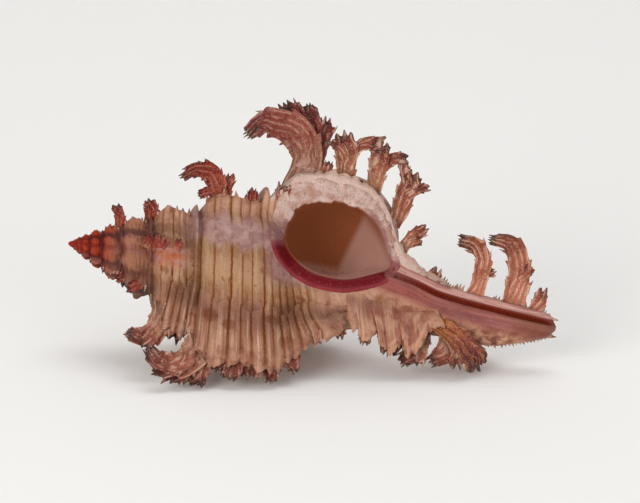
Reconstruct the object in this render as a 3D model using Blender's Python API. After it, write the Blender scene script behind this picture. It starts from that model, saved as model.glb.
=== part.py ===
"""A murex shell, grown as one piece: a coiled body with three varices a turn, an open aperture,
a long siphonal canal, and the branching fronds that each varix carries.

The shell is laid out in its own frame, in millimetres: +X runs along the coiling axis from the
apex to the end of the canal, +Y points to the outer lip and +Z out of the aperture. Angles round
the axis are in degrees from +Y towards +Z, and grow as the shell grows. REST_TURN then lays the
shell on the tips that it rests on.
"""

import math

import bmesh
import bpy
import numpy as np
from mathutils import Euler, Matrix, Vector

MM = 0.001

# Size of the whole shell, from the apex to the end of the canal.
SHELL_LENGTH = 100.0

# The coil: the suture and the widest radius both grow by a fixed ratio a turn.
SUTURE_X = 26.0  # where the last whorl's suture crosses SUTURE_ANGLE
SUTURE_ANGLE = 90.0
AXIAL_GROWTH = 1.55
SHOULDER_RADIUS = 13.0  # widest radius at angle 0
RADIAL_GROWTH = 1.45
LIP_ANGLE = 375.0
LIP_STEP = 3.0  # degrees over which the lip's face falls to the whorl before
TURNS = 8
APEX_X = 0.15
NUCLEUS_LENGTH = 1.8  # the rounded first whorl at the apex
NUCLEUS_RADIUS = 0.85

# Varices stand 120 degrees apart, and a low rib lies between each two.
VARIX_STEP = 120.0
VARIX_HEIGHT = 0.2  # share of the radius
VARIX_BACK = 17.0  # degrees over which a varix rises
VARIX_FRONT = 6.0  # degrees over which it falls again
RIB_HEIGHT = 0.035
RIB_WIDTH = 15.0
RIB_BEHIND_VARIX = 47.0

# How full the whorl is, by its place between its suture (0) and the next one (1).
FULLNESS = (
    (-0.02, 0.0), (0.0, 0.66), (0.1, 0.82), (0.25, 0.95), (0.5, 1.0), (0.8, 0.99),
    (1.0, 0.95), (1.15, 0.88), (1.3, 0.72), (1.42, 0.5), (1.6, 0.28), (2.0, 0.0),
)

CANAL_START = 64.0

# The columella and the canal: x, middle in Y and in Z, half width in Y and in Z.
CANAL = (
    (36.0, 0.0, 0.0, 9.0, 9.0),
    (50.0, 0.0, 0.0, 8.6, 8.6),
    (56.0, 0.1, 0.0, 7.6, 7.6),
    (62.0, 0.6, 0.0, 6.8, 6.2),
    (70.0, 0.8, -0.2, 6.0, 5.0),
    (79.0, 0.0, -0.8, 5.0, 4.2),
    (88.0, -0.2, -1.8, 4.6, 3.6),
    (93.0, 0.2, -2.6, 3.6, 2.9),
    (97.0, 0.6, -3.3, 2.6, 2.2),
    (99.3, 0.8, -3.8, 1.7, 1.5),
    (100.0, 0.8, -4.0, 1.0, 0.9),
)

# The opening of the aperture, in X and Y, and the hollow that winds back from it.
APERTURE = (
    (42.4, 11.0), (44.2, 15.4), (49.5, 17.9), (55.5, 17.8), (60.4, 15.0),
    (63.4, 10.4), (64.6, 6.9), (61.0, 4.6), (55.5, 2.7), (49.0, 3.1), (43.8, 6.4),
)
APERTURE_FRONT_Z = 26.0
APERTURE_FLARE = 1.1  # how much wider the cutter is out there
APERTURE_RIM_Z = 6.0
HOLLOW_TURN = 140.0  # degrees that it winds back
HOLLOW_NARROWING = 0.8

# The slit of the canal, in X and Y, and its depth below the surface.
SLIT = ((62.5, 6.4), (70.0, 5.0), (75.0, 3.6), (80.0, 3.0), (90.0, 2.3), (101.0, 1.8))
SLIT_HALF_WIDTH = 0.75
SLIT_DEPTH = 2.0

FROND_THICKNESS = 1.5
FROND_CHANNEL = 0.45  # depth of a frond's channel, as a share of its half width
FROND_BACK = 0.7  # width of a frond's back, as a share of its front
ROOT_DEPTH = 3.0  # how far a dorsal frond's root reaches into the shell

# Each frond is a run of (x, y, z, half width) stations from its root to its tip.
LIP_FRONDS = (
    ((44.6, 18.0, 4.4, 3.0), (44.6, 24.5, 5.4, 3.1), (41.5, 30.0, 6.6, 3.0), (35.5, 31.2, 8.6, 1.9),
     (31.7, 27.6, 10.2, 0.8)),
    ((44.0, 25.0, 5.4, 2.4), (41.0, 31.5, 6.0, 2.4), (37.4, 35.0, 7.0, 1.1)),
    ((44.5, 25.0, 5.0, 2.3), (43.8, 31.5, 4.8, 2.2), (42.0, 36.2, 5.0, 1.0)),
    ((45.2, 23.0, 4.8, 2.2), (46.2, 29.5, 4.2, 1.9), (46.6, 34.0, 3.6, 1.0)),
    ((52.6, 19.0, 4.8, 1.8), (52.2, 26.5, 5.6, 1.9), (50.6, 31.8, 6.2, 1.3)),
    ((52.0, 26.5, 5.6, 1.2), (50.4, 28.6, 6.2, 0.9), (48.4, 29.7, 7.0, 0.6)),
    ((52.2, 27.6, 5.6, 1.2), (55.2, 30.4, 5.6, 1.1), (58.6, 30.6, 5.6, 1.1)),
    ((58.2, 17.5, 4.4, 1.7), (58.6, 25.5, 5.2, 1.6), (58.6, 31.2, 5.8, 1.2)),
    ((58.6, 25.0, 5.0, 1.3), (61.0, 28.2, 5.2, 1.1), (64.2, 29.0, 5.6, 0.7)),
    ((63.0, 13.0, 3.4, 1.8), (64.6, 20.0, 4.2, 1.8), (66.2, 26.6, 4.8, 1.2)),
    ((64.8, 21.0, 4.2, 1.2), (67.0, 23.2, 4.4, 0.9), (69.4, 24.0, 4.8, 0.6)),
    ((65.2, 23.5, 4.6, 1.2), (63.4, 28.0, 5.0, 0.7)),
    ((64.8, 9.0, 3.0, 1.5), (67.8, 13.4, 3.6, 1.2), (70.4, 16.2, 4.0, 0.7)),
    ((67.0, 12.0, 3.4, 1.0), (70.0, 13.4, 3.8, 0.6)),
    ((48.6, 20.0, 5.0, 1.3), (48.5, 25.6, 6.0, 0.7)),
    ((55.4, 19.0, 4.8, 1.3), (54.8, 23.4, 5.8, 0.7)),
    ((41.4, 15.0, 4.6, 1.6), (40.4, 19.4, 5.6, 0.9)),
)
CANAL_FRONDS = (
    ((82.0, 1.0, 0.0, 2.2), (82.8, 6.5, 0.8, 1.6), (83.0, 11.0, 1.4, 1.4), (81.0, 14.2, 2.0, 1.2),
     (77.2, 14.8, 2.8, 0.6)),
    ((83.0, 8.4, 1.0, 0.9), (85.6, 9.9, 1.0, 0.6)),
    ((90.6, 1.0, -1.2, 2.6), (90.6, 7.0, -0.6, 2.2), (90.2, 12.0, 0.2, 2.1), (87.8, 15.8, 1.2, 1.3),
     (83.4, 16.2, 2.2, 0.6)),
    ((91.0, 9.0, 0.0, 1.3), (92.8, 12.4, 0.0, 0.6)),
    ((94.0, 1.0, -1.8, 1.6), (95.4, 5.0, -1.2, 1.2), (95.8, 8.0, -0.8, 0.7)),
    ((73.0, 4.0, 1.4, 1.8), (74.0, 8.0, 2.2, 0.8)),
)
SPIRE_FRONDS = (
    ((10.0, 3.4, 1.0, 1.1), (9.4, 7.2, 2.0, 0.9), (8.2, 9.3, 2.6, 0.6)),
    ((15.8, 5.4, 1.4, 1.5), (15.6, 9.2, 2.6, 1.2), (14.4, 11.5, 3.4, 0.7)),
    ((28.6, 9.6, 2.4, 2.2), (28.4, 14.6, 4.0, 1.9), (26.4, 18.8, 5.4, 1.7), (23.4, 19.2, 6.4, 1.2),
     (20.4, 17.0, 7.2, 0.6)),
    ((27.2, 16.0, 4.4, 1.1), (24.2, 14.2, 5.6, 0.6)),
    ((29.0, 13.0, 3.4, 1.3), (30.0, 19.4, 4.6, 0.7)),
    ((35.0, 11.0, 3.0, 1.5), (35.0, 17.4, 4.4, 0.6)),
)
LEFT_FRONDS = (
    ((22.6, -7.6, 6.4, 2.9), (21.4, -12.6, 10.0, 2.5), (18.8, -15.8, 12.2, 1.6), (15.2, -15.3, 13.4, 0.7)),
    ((21.2, -13.4, 10.6, 1.6), (19.6, -17.3, 13.6, 0.9)),
    ((24.8, -8.4, 7.4, 2.0), (24.8, -14.8, 11.6, 1.3)),
    ((31.0, -10.6, 9.6, 3.4), (30.2, -15.6, 13.4, 3.2), (27.4, -19.2, 16.4, 2.5), (23.6, -19.6, 18.0, 1.6),
     (20.2, -17.4, 18.6, 0.8)),
    ((29.0, -17.0, 14.6, 2.2), (25.4, -20.4, 17.8, 1.8), (21.6, -21.4, 19.4, 1.0)),
    ((29.0, -17.0, 14.4, 2.3), (26.6, -20.8, 17.0, 2.0), (24.8, -22.9, 18.4, 1.4)),
    ((30.0, -15.6, 13.2, 2.3), (29.4, -20.0, 16.2, 2.0), (28.6, -22.9, 17.8, 1.4)),
    ((30.8, -15.6, 13.0, 2.0), (31.4, -19.6, 16.0, 1.4), (31.5, -23.0, 17.6, 0.7)),
    ((35.4, -12.4, 11.2, 2.4), (35.0, -16.8, 13.8, 2.2), (34.4, -19.4, 15.6, 0.8)),
    ((38.2, -12.4, 11.2, 2.2), (37.6, -17.2, 14.2, 1.8), (37.0, -20.6, 16.6, 0.8)),
    ((41.4, -12.6, 11.2, 2.3), (40.8, -17.0, 14.0, 2.1), (40.6, -19.5, 15.6, 1.0)),
    ((44.8, -12.0, 11.0, 2.2), (44.8, -16.2, 13.6, 1.8), (45.2, -19.7, 15.8, 0.7)),
    ((47.4, -9.6, 8.8, 2.2), (48.2, -13.8, 11.6, 1.7), (49.4, -16.9, 13.8, 0.7)),
    ((50.6, -5.6, 5.2, 2.3), (52.2, -10.6, 8.6, 1.1)),
    ((56.0, -5.0, 4.4, 2.2), (56.8, -8.8, 6.6, 1.0)),
    ((62.4, -3.4, 2.6, 1.9), (62.2, -9.0, 5.6, 0.7)),
    ((67.8, -3.0, 1.8, 2.4), (67.8, -7.4, 4.0, 2.2), (67.6, -10.2, 5.4, 0.8)),
    ((72.8, -3.0, 1.4, 2.4), (72.6, -8.2, 4.0, 2.3), (70.6, -11.7, 5.8, 0.8)),
    ((73.2, -6.0, 2.8, 1.6), (74.0, -10.8, 5.2, 0.8)),
    ((79.4, -2.2, 1.2, 2.4), (78.8, -7.6, 3.2, 1.9), (76.2, -10.5, 4.6, 0.8)),
    ((79.6, -5.0, 2.2, 1.6), (81.2, -10.2, 3.8, 1.0)),
    ((76.0, -1.6, -1.6, 1.9), (81.0, -4.8, -2.0, 1.9), (84.2, -6.8, -2.2, 1.7), (86.2, -9.8, -2.6, 1.5)),
)

# The dorsal varix: where each frond stands, by x, its length, half width and lean to the apex.
DORSAL_ANGLE = 255.0
DORSAL_CURL = 0.06  # how far a frond leans the way the shell grows, as a share of its length
DORSAL_FRONDS = (
    (33.4, 16.4, 2.9, 6.5), (34.8, 16.8, 2.4, 1.2), (33.6, 14.6, 2.2, 9.0), (35.6, 13.4, 2.2, -1.6),
    (41.0, 7.0, 1.8, 0.8), (46.0, 9.5, 1.9, 1.5),
    (51.5, 8.5, 1.8, 0.0), (56.5, 5.5, 1.6, -0.5), (64.0, 5.0, 1.5, 0.0), (71.0, 6.5, 1.6, 1.5),
    (79.0, 8.0, 1.7, 2.5), (87.0, 8.0, 1.7, 3.5),
)

# The turn that lays the shell on its tips, in degrees about X, Y and Z.
REST_TURN = (74.01, 7.83, 0.0)
# The shift that then puts the middle of the box's underside at the origin, in millimetres.
REST_SHIFT = (-49.61, -2.13, 22.53)

# How finely each form is drawn.
SPIRE_RINGS = 21
WHORL_RINGS = 15
CANAL_RINGS = 11
RING_POINTS = 33
HOLLOW_POINTS = 20
HOLLOW_RINGS = 8
FROND_RINGS_A_STEP = 1.5

FROND_GROUPS = (
    ("lip_frond", (0.0, 0.0, 1.0), LIP_FRONDS),
    ("canal_frond", (0.0, 0.0, 1.0), CANAL_FRONDS),
    ("spire_frond", (0.0, -0.3, 1.0), SPIRE_FRONDS),
    ("left_frond", (0.0, 0.5, 0.86), LEFT_FRONDS),
)

SHELL_COLOUR = (0.58, 0.42, 0.33, 1.0)
SHELL_ROUGHNESS = 0.45


def clear_scene():
    """Takes the startup objects away."""
    for thing in list(bpy.data.objects):
        bpy.data.objects.remove(thing, do_unlink=True)


def curve_through(xs, ys, x):
    """A smooth curve through the points xs, ys, read at x."""
    xs = np.asarray(xs, float)
    ys = np.asarray(ys, float)
    x = np.clip(x, xs[0], xs[-1])
    slope = np.diff(ys) / np.diff(xs)
    tangent = np.concatenate([slope[:1], (slope[1:] + slope[:-1]) / 2, slope[-1:]])
    turning = np.concatenate([[False], slope[1:] * slope[:-1] <= 0, [False]])
    tangent[turning] = 0.0
    i = np.clip(np.searchsorted(xs, x, side="right") - 1, 0, len(xs) - 2)
    step = xs[i + 1] - xs[i]
    t = (x - xs[i]) / step
    rise = (2 * t**3 - 3 * t**2 + 1) * ys[i] + (3 * t**2 - 2 * t**3) * ys[i + 1]
    lean = (t**3 - 2 * t**2 + t) * tangent[i] + (t**3 - t**2) * tangent[i + 1]
    return rise + lean * step


def suture_x(angle):
    return SUTURE_X * AXIAL_GROWTH ** ((angle - SUTURE_ANGLE) / 360)


def shoulder_radius(angle):
    return SHOULDER_RADIUS * RADIAL_GROWTH ** (angle / 360)


def swelling(angle):
    """How much a varix or rib raises the whorl at this angle along the coil, as a share."""
    past = (angle - LIP_ANGLE) % VARIX_STEP
    ahead = VARIX_STEP - past
    varix = np.maximum(np.exp(-((ahead / VARIX_BACK) ** 2)), np.exp(-((past / VARIX_FRONT) ** 2)))
    rib = np.exp(-(((ahead - RIB_BEHIND_VARIX) / RIB_WIDTH) ** 2))
    return VARIX_HEIGHT * varix + RIB_HEIGHT * rib


def canal_at(x):
    """The canal's middle in Y and Z and its half widths, at x."""
    xs, *columns = zip(*CANAL)
    return [curve_through(xs, column, x) for column in columns]


def surface_radius(x, angle):
    """The radius of the outside at x, at angles round the axis."""
    angle = LIP_ANGLE - (LIP_ANGLE - angle) % 360
    places, sizes = zip(*FULLNESS)
    nucleus = min(x / NUCLEUS_LENGTH, 1.0)
    widest = np.full_like(angle, NUCLEUS_RADIUS * math.sin(math.pi / 2 * nucleus) ** 0.7)
    for turn in range(TURNS):
        along = angle - 360 * turn
        start = suture_x(along)
        place = (x - start) / (suture_x(along + 360) - start)
        radius = shoulder_radius(along) * curve_through(places, sizes, place)
        edge = np.clip(place / 0.3, 0, 1) * np.clip((1.6 - place) / 0.3, 0, 1)
        widest = np.maximum(widest, radius * (1 + swelling(along) * edge))
    _, _, half_y, half_z = canal_at(x)
    turned = np.radians(angle)
    canal = 1 / np.hypot(np.cos(turned) / half_y, np.sin(turned) / half_z)
    if x < CANAL[0][0]:
        canal = canal * 0
    return (widest**4 + canal**4) ** 0.25


def surface_points(x, angles):
    """The points of the outside at x, at angles round the axis."""
    middle_y, middle_z, _, _ = canal_at(x)
    radius = surface_radius(x, angles)
    turned = np.radians(angles)
    across = middle_y + radius * np.cos(turned)
    deep = middle_z + radius * np.sin(turned)
    return [Vector((x, y, z)) for y, z in zip(across, deep)]


def loft(name, rings, collection):
    """A closed mesh through rings of as many points each, with its ends capped."""
    model = bmesh.new()
    rows = [[model.verts.new(Vector(point) * MM) for point in ring] for ring in rings]
    for low, high in zip(rows, rows[1:]):
        for i in range(len(low)):
            j = (i + 1) % len(low)
            model.faces.new((low[i], low[j], high[j], high[i]))
    model.faces.new(rows[0][::-1])
    model.faces.new(rows[-1])
    bmesh.ops.triangulate(model, faces=model.faces)
    bmesh.ops.recalc_face_normals(model, faces=model.faces)
    mesh = bpy.data.meshes.new(name)
    model.to_mesh(mesh)
    model.free()
    made = bpy.data.objects.new(name, mesh)
    collection.objects.link(made)
    return made


def make_body(collection):
    """The coiled body and the canal, solid, with a step where the last whorl ends at the lip."""
    spire = np.geomspace(APEX_X, SUTURE_X, SPIRE_RINGS)
    whorl = np.linspace(SUTURE_X, CANAL_START, WHORL_RINGS)[1:]
    canal = np.linspace(CANAL_START, SHELL_LENGTH, CANAL_RINGS)[1:]
    even = np.linspace(LIP_ANGLE - 360 + LIP_STEP, LIP_ANGLE, RING_POINTS)
    crests = LIP_ANGLE - VARIX_STEP * np.array([1.0, 2.0])
    angles = np.unique(np.concatenate([even, crests]))
    stations = np.concatenate([spire, whorl, canal])
    return loft("shell", [surface_points(x, angles) for x in stations], collection)


def outline_through(corners, count):
    """Points evenly along a smooth closed curve through the corners."""
    closed = np.array(corners + corners[:3])
    found = []
    for step in np.arange(count) / count * len(corners):
        i = int(step)
        t = step - i
        a, b, c, d = closed[i : i + 4]
        bend = (2 * a - 5 * b + 4 * c - d) * t**2 + (3 * b - a - 3 * c + d) * t**3
        found.append(b + 0.5 * ((c - a) * t + bend))
    return np.array(found)


def make_hollow(collection):
    """The cutter for the aperture: straight in from the front, then winding back up the coil."""
    outline = outline_through(APERTURE, HOLLOW_POINTS)
    middle = outline.mean(axis=0)
    rings = [[(x, y, APERTURE_FRONT_Z) for x, y in middle + (outline - middle) * APERTURE_FLARE]]
    rings.append([(x, y, APERTURE_RIM_Z) for x, y in outline])
    for step in np.linspace(0, 1, HOLLOW_RINGS):
        back = math.radians(HOLLOW_TURN * step)
        narrowed = middle + (outline - middle) * (1 - (1 - HOLLOW_NARROWING) * step**0.5)
        turns = -HOLLOW_TURN * step / 360
        along = narrowed[:, 0] * AXIAL_GROWTH**turns
        out = narrowed[:, 1] * RADIAL_GROWTH**turns
        rings.append(
            [(x, r * math.cos(back), -r * math.sin(back)) for x, r in zip(along, out)]
        )
    return loft("aperture_hollow", rings, collection)


def make_slit(collection):
    """The cutter for the slit along the canal."""
    rings = []
    for x, y in SLIT:
        middle_y, middle_z, half_y, half_z = canal_at(x)
        surface = middle_z + half_z * math.sqrt(max(1 - ((y - middle_y) / half_y) ** 2, 0.2))
        low = surface - SLIT_DEPTH
        rings.append(
            [(x, y + side * SLIT_HALF_WIDTH, z) for side, z in
             ((-1, low), (1, low), (1, APERTURE_FRONT_Z), (-1, APERTURE_FRONT_Z))]
        )
    return loft("canal_slit", rings, collection)


def make_frond(name, stations, opens_to, collection):
    """A channelled frond through stations of (x, y, z, half width), its channel facing opens_to."""
    points = np.array(stations)
    knots = np.arange(len(points))
    reads = np.linspace(0, knots[-1], round(FROND_RINGS_A_STEP * knots[-1]) + 1)
    curve = np.array([curve_through(knots, column, reads) for column in points.T]).T
    rings = []
    for i, (x, y, z, half) in enumerate(curve):
        ahead = Vector(curve[min(i + 1, len(curve) - 1), :3]) - Vector(curve[max(i - 1, 0), :3])
        side = ahead.cross(opens_to).normalized()
        face = side.cross(ahead).normalized()
        here = Vector((x, y, z))
        dip = face * half * FROND_CHANNEL
        back = face * FROND_THICKNESS
        edge = side * half
        rings.append(
            (here - edge, here - dip, here + edge,
             here + edge * FROND_BACK - back, here - dip - back, here - edge * FROND_BACK - back)
        )
    return loft(name, rings, collection)


def make_dorsal_fronds(collection):
    """The fronds of the varix on the shell's back, straight out and leaning to the apex."""
    turned = math.radians(DORSAL_ANGLE)
    out = Vector((0, math.cos(turned), math.sin(turned)))
    growing = Vector((0, -math.sin(turned), math.cos(turned)))
    for number, (x, length, half, lean) in enumerate(DORSAL_FRONDS):
        foot = surface_points(x, np.array([DORSAL_ANGLE]))[0]
        stations = []
        for share in (-ROOT_DEPTH / length, 0.45, 0.8, 1.0):
            point = foot + out * length * share + growing * length * DORSAL_CURL * max(share, 0) ** 2
            point.x -= lean * max(share, 0) ** 2
            stations.append((*point, half * (1 - 0.72 * max(share, 0) ** 2)))
        make_frond(f"dorsal_frond_{number}", stations, growing, collection)


def boolean(target, name, operation, operand):
    """A Boolean on the target, with another object or with a collection of them."""
    modifier = target.modifiers.new(name, "BOOLEAN")
    modifier.operation = operation
    modifier.solver = "EXACT"
    if isinstance(operand, bpy.types.Collection):
        modifier.operand_type = "COLLECTION"
        modifier.collection = operand
    else:
        modifier.object = operand


def shell_material():
    material = bpy.data.materials.new("shell")
    material.use_nodes = True
    surface = material.node_tree.nodes["Principled BSDF"]
    surface.inputs["Base Color"].default_value = SHELL_COLOUR
    surface.inputs["Roughness"].default_value = SHELL_ROUGHNESS
    surface.inputs["Metallic"].default_value = 0.0
    return material


def new_collection(name, parent):
    made = bpy.data.collections.new(name)
    parent.children.link(made)
    return made


def main():
    clear_scene()
    scene = bpy.context.scene
    parts = new_collection("murex_shell", scene.collection)
    cutters = new_collection("cutters", scene.collection)
    fronds = new_collection("fronds", scene.collection)

    shell = make_body(parts)
    hollow = make_hollow(cutters)
    slit = make_slit(cutters)
    for group, opens_to, rows in FROND_GROUPS:
        for number, stations in enumerate(rows):
            make_frond(f"{group}_{number}", stations, Vector(opens_to).normalized(), fronds)
    make_dorsal_fronds(fronds)

    boolean(shell, "grown_fronds", "UNION", fronds)
    boolean(shell, "aperture", "DIFFERENCE", hollow)
    boolean(shell, "slit", "DIFFERENCE", slit)
    shell.data.materials.append(shell_material())

    rest = Euler([math.radians(turn) for turn in REST_TURN]).to_matrix().to_4x4()
    place = Matrix.Translation(Vector(REST_SHIFT) * MM) @ rest
    for thing in [shell, hollow, slit, *fronds.objects]:
        thing.matrix_world = place
    for helper in [hollow, slit, *fronds.objects]:
        helper.hide_render = True
        helper.display_type = "WIRE"


main()
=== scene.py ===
"""The looks of the murex shell: its fine surface, its fronds and its colours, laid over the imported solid.

Every shape is worked out in the shell's own frame, in millimetres: +X runs along the coiling axis
from the apex to the end of the canal, +Y points to the outer lip and +Z out of the aperture.
Angles round the axis are in degrees from +Y towards +Z, and grow as the shell grows.
"""

import math

import bmesh
import bpy
import numpy as np
from mathutils import Euler, Matrix, Vector
from mathutils.bvhtree import BVHTree


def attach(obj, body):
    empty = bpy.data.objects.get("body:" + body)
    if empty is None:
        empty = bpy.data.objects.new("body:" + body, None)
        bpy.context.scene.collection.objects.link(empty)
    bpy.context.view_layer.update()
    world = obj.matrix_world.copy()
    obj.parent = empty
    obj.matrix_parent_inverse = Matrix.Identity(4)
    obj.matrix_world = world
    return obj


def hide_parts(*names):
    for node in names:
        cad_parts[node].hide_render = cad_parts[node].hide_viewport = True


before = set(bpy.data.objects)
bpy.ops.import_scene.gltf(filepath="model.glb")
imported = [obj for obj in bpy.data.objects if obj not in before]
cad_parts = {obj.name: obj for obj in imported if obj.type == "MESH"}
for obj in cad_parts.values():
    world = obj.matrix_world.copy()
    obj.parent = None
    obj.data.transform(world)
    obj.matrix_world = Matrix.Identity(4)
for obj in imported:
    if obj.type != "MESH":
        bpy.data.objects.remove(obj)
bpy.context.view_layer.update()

MM = 0.001
SEED = 20
LATTICE_SIZE = 32
LATTICE = np.random.default_rng(SEED).random((LATTICE_SIZE,) * 3) * 2 - 1

# The coil, as in the solid.
SUTURE_X = 26.0
SUTURE_ANGLE = 90.0
AXIAL_GROWTH = 1.55
SHOULDER_RADIUS = 13.0
RADIAL_GROWTH = 1.45
LIP_ANGLE = 375.0
LIP_STEP = 3.0
TURNS = 8
APEX_X = 0.15
NUCLEUS_LENGTH = 1.8
NUCLEUS_RADIUS = 0.85
SHELL_LENGTH = 100.0

VARIX_STEP = 120.0
VARIX_HEIGHT = 0.2
VARIX_BACK = 17.0
VARIX_FRONT = 6.0
RIB_HEIGHT = 0.035
RIB_WIDTH = 15.0
RIB_BEHIND_VARIX = 47.0

FULLNESS = (
    (-0.02, 0.0), (0.0, 0.66), (0.1, 0.82), (0.25, 0.95), (0.5, 1.0), (0.8, 0.99),
    (1.0, 0.95), (1.15, 0.88), (1.3, 0.72), (1.42, 0.5), (1.6, 0.28), (2.0, 0.0),
)
CANAL = (
    (36.0, 0.0, 0.0, 9.0, 9.0),
    (50.0, 0.0, 0.0, 8.6, 8.6),
    (56.0, 0.1, 0.0, 7.6, 7.6),
    (62.0, 0.6, 0.0, 6.8, 6.2),
    (70.0, 0.8, -0.2, 6.0, 5.0),
    (79.0, 0.0, -0.8, 5.0, 4.2),
    (88.0, -0.2, -1.8, 4.6, 3.6),
    (93.0, 0.2, -2.6, 3.6, 2.9),
    (97.0, 0.6, -3.3, 2.6, 2.2),
    (99.3, 0.8, -3.8, 1.7, 1.5),
    (100.0, 0.8, -4.0, 1.0, 0.9),
)
APERTURE = (
    (42.4, 11.0), (44.2, 15.4), (49.5, 17.9), (55.5, 17.8), (60.4, 15.0),
    (63.4, 10.4), (64.6, 6.9), (61.0, 4.6), (55.5, 2.7), (49.0, 3.1), (43.8, 6.4),
)
APERTURE_FRONT_Z = 26.0
APERTURE_FLARE = 1.1
APERTURE_RIM_Z = 6.0
HOLLOW_TURN = 140.0
HOLLOW_NARROWING = 0.8
SLIT = ((62.5, 6.4), (70.0, 5.0), (75.0, 3.6), (80.0, 3.0), (90.0, 2.3), (101.0, 1.8))

REST_TURN = (74.01, 7.83, 0.0)
REST_SHIFT = (-49.61, -2.13, 22.53)
TURN = np.array(Euler([math.radians(a) for a in REST_TURN]).to_matrix())

# Places in the photo, in pixels, and the camera's distance and sensor, in mm.
PHOTO_SIZE = (640, 503)
PHOTO_APEX = (67.0, 243.0)
PHOTO_CANAL_END = (557.0, 333.0)
CAMERA_DISTANCE = 1100.0
SENSOR = 36.0


# Where the aperture's edge is columella, by corner of its outline.
COLUMELLA = (6.2, 6.9, 10.1, 10.7)

# Brown spiral lines by their place across a whorl, with their strength.
LINES = (
    (0.105, 0.6), (0.3, 0.7), (0.545, 1.0), (0.7, 0.6), (0.84, 0.7), (1.01, 1.0), (1.12, 0.7),
    (1.22, 0.8), (1.31, 0.7), (1.4, 0.8), (1.5, 0.6), (1.6, 0.6),
)
GROOVE_WIDTH = 0.034
BAND_HEIGHT = 0.1
# The outside's grid: its step along x by place, and its degrees a column before and behind.
ROW_STEPS = ((0, 0.11), (4, 0.13), (10, 0.19), (25, 0.27), (34, 0.34), (64, 0.38), (100, 0.4))
FINE_COLUMNS = 0.95
COARSE_COLUMNS = 1.8

# Fronds: each station is x, Y, Z and half the width there, in mm.
FROND_CHANNEL = 0.45
FROND_THICKNESS = 1.1
FROND_COLUMNS = 29
ROOT_DEPTH = 3.0

LIP_FRONDS = (
    ((44.6, 18.0, 4.4, 3.0), (44.6, 24.5, 5.4, 3.1), (41.5, 30.0, 6.6, 3.0), (35.5, 31.2, 8.6, 1.9),
     (31.7, 27.6, 10.2, 0.8)),
    ((44.0, 25.0, 5.4, 2.4), (41.0, 31.5, 6.0, 2.4), (37.4, 35.0, 7.0, 1.1)),
    ((44.5, 25.0, 5.0, 2.3), (43.8, 31.5, 4.8, 2.2), (42.0, 36.2, 5.0, 1.0)),
    ((45.2, 23.0, 4.8, 2.2), (46.2, 29.5, 4.2, 1.9), (46.6, 34.0, 3.6, 1.0)),
    ((52.6, 19.0, 4.8, 1.8), (52.2, 26.5, 5.6, 1.9), (50.6, 31.8, 6.2, 1.3)),
    ((52.0, 26.5, 5.6, 1.2), (50.4, 28.6, 6.2, 0.9), (48.4, 29.7, 7.0, 0.6)),
    ((52.2, 27.6, 5.6, 1.2), (55.2, 30.4, 5.6, 1.1), (58.6, 30.6, 5.6, 1.1)),
    ((58.4, 18.6, 4.2, 1.5), (58.6, 25.5, 5.2, 1.6), (58.6, 31.2, 5.8, 1.2)),
    ((58.6, 25.0, 5.0, 1.3), (61.0, 28.2, 5.2, 1.1), (64.2, 29.0, 5.6, 0.7)),
    ((64.2, 14.8, 3.0, 1.2), (64.8, 20.0, 4.2, 1.8), (66.2, 26.6, 4.8, 1.2)),
    ((64.8, 21.0, 4.2, 1.2), (67.0, 23.2, 4.4, 0.9), (69.4, 24.0, 4.8, 0.6)),
    ((65.2, 23.5, 4.6, 1.2), (63.4, 28.0, 5.0, 0.7)),
    ((66.0, 10.4, 2.4, 1.0), (67.8, 13.4, 3.6, 1.2), (70.4, 16.2, 4.0, 0.7)),
    ((67.0, 12.0, 3.4, 1.0), (70.0, 13.4, 3.8, 0.6)),
    ((48.6, 20.0, 5.0, 1.3), (48.5, 25.6, 6.0, 0.7)),
    ((55.4, 19.0, 4.8, 1.3), (54.8, 23.4, 5.8, 0.7)),
    ((41.4, 15.0, 4.6, 1.6), (40.4, 19.4, 5.6, 0.9)),
)
CANAL_FRONDS = (
    ((82.0, 1.0, 0.0, 2.2), (82.8, 6.5, 0.8, 1.6), (83.0, 11.0, 1.4, 1.4), (81.0, 14.2, 2.0, 1.2),
     (77.2, 14.8, 2.8, 0.6)),
    ((83.0, 8.4, 1.0, 0.9), (85.6, 9.9, 1.0, 0.6)),
    ((90.6, 1.0, -2.8, 2.6), (90.6, 7.0, -0.6, 2.2), (90.2, 12.0, 0.2, 2.1), (87.8, 15.8, 1.2, 1.3),
     (83.4, 16.2, 2.2, 0.6)),
    ((91.0, 9.0, 0.0, 1.3), (92.8, 12.4, 0.0, 0.6)),
    ((94.0, 1.0, -4.0, 1.4), (95.4, 5.0, -1.2, 1.2), (95.8, 8.0, -0.8, 0.7)),
    ((73.0, 4.0, 1.4, 1.8), (74.0, 8.0, 2.2, 0.8)),
)
SPIRE_FRONDS = (
    ((10.0, 3.4, 1.0, 1.1), (9.4, 7.2, 2.0, 0.9), (8.2, 9.3, 2.6, 0.6)),
    ((15.8, 5.4, 1.4, 1.5), (15.6, 9.2, 2.6, 1.2), (14.4, 11.5, 3.4, 0.7)),
    ((28.6, 9.6, 2.4, 2.2), (28.4, 14.6, 4.0, 1.9), (26.4, 18.8, 5.4, 1.7), (23.4, 19.2, 6.4, 1.2),
     (20.4, 17.0, 7.2, 0.6)),
    ((27.2, 16.0, 4.4, 1.1), (24.2, 14.2, 5.6, 0.6)),
    ((29.0, 13.0, 3.4, 1.3), (30.0, 19.4, 4.6, 0.7)),
    ((35.0, 11.0, 3.0, 1.5), (35.0, 17.4, 4.4, 0.6)),
)
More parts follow.
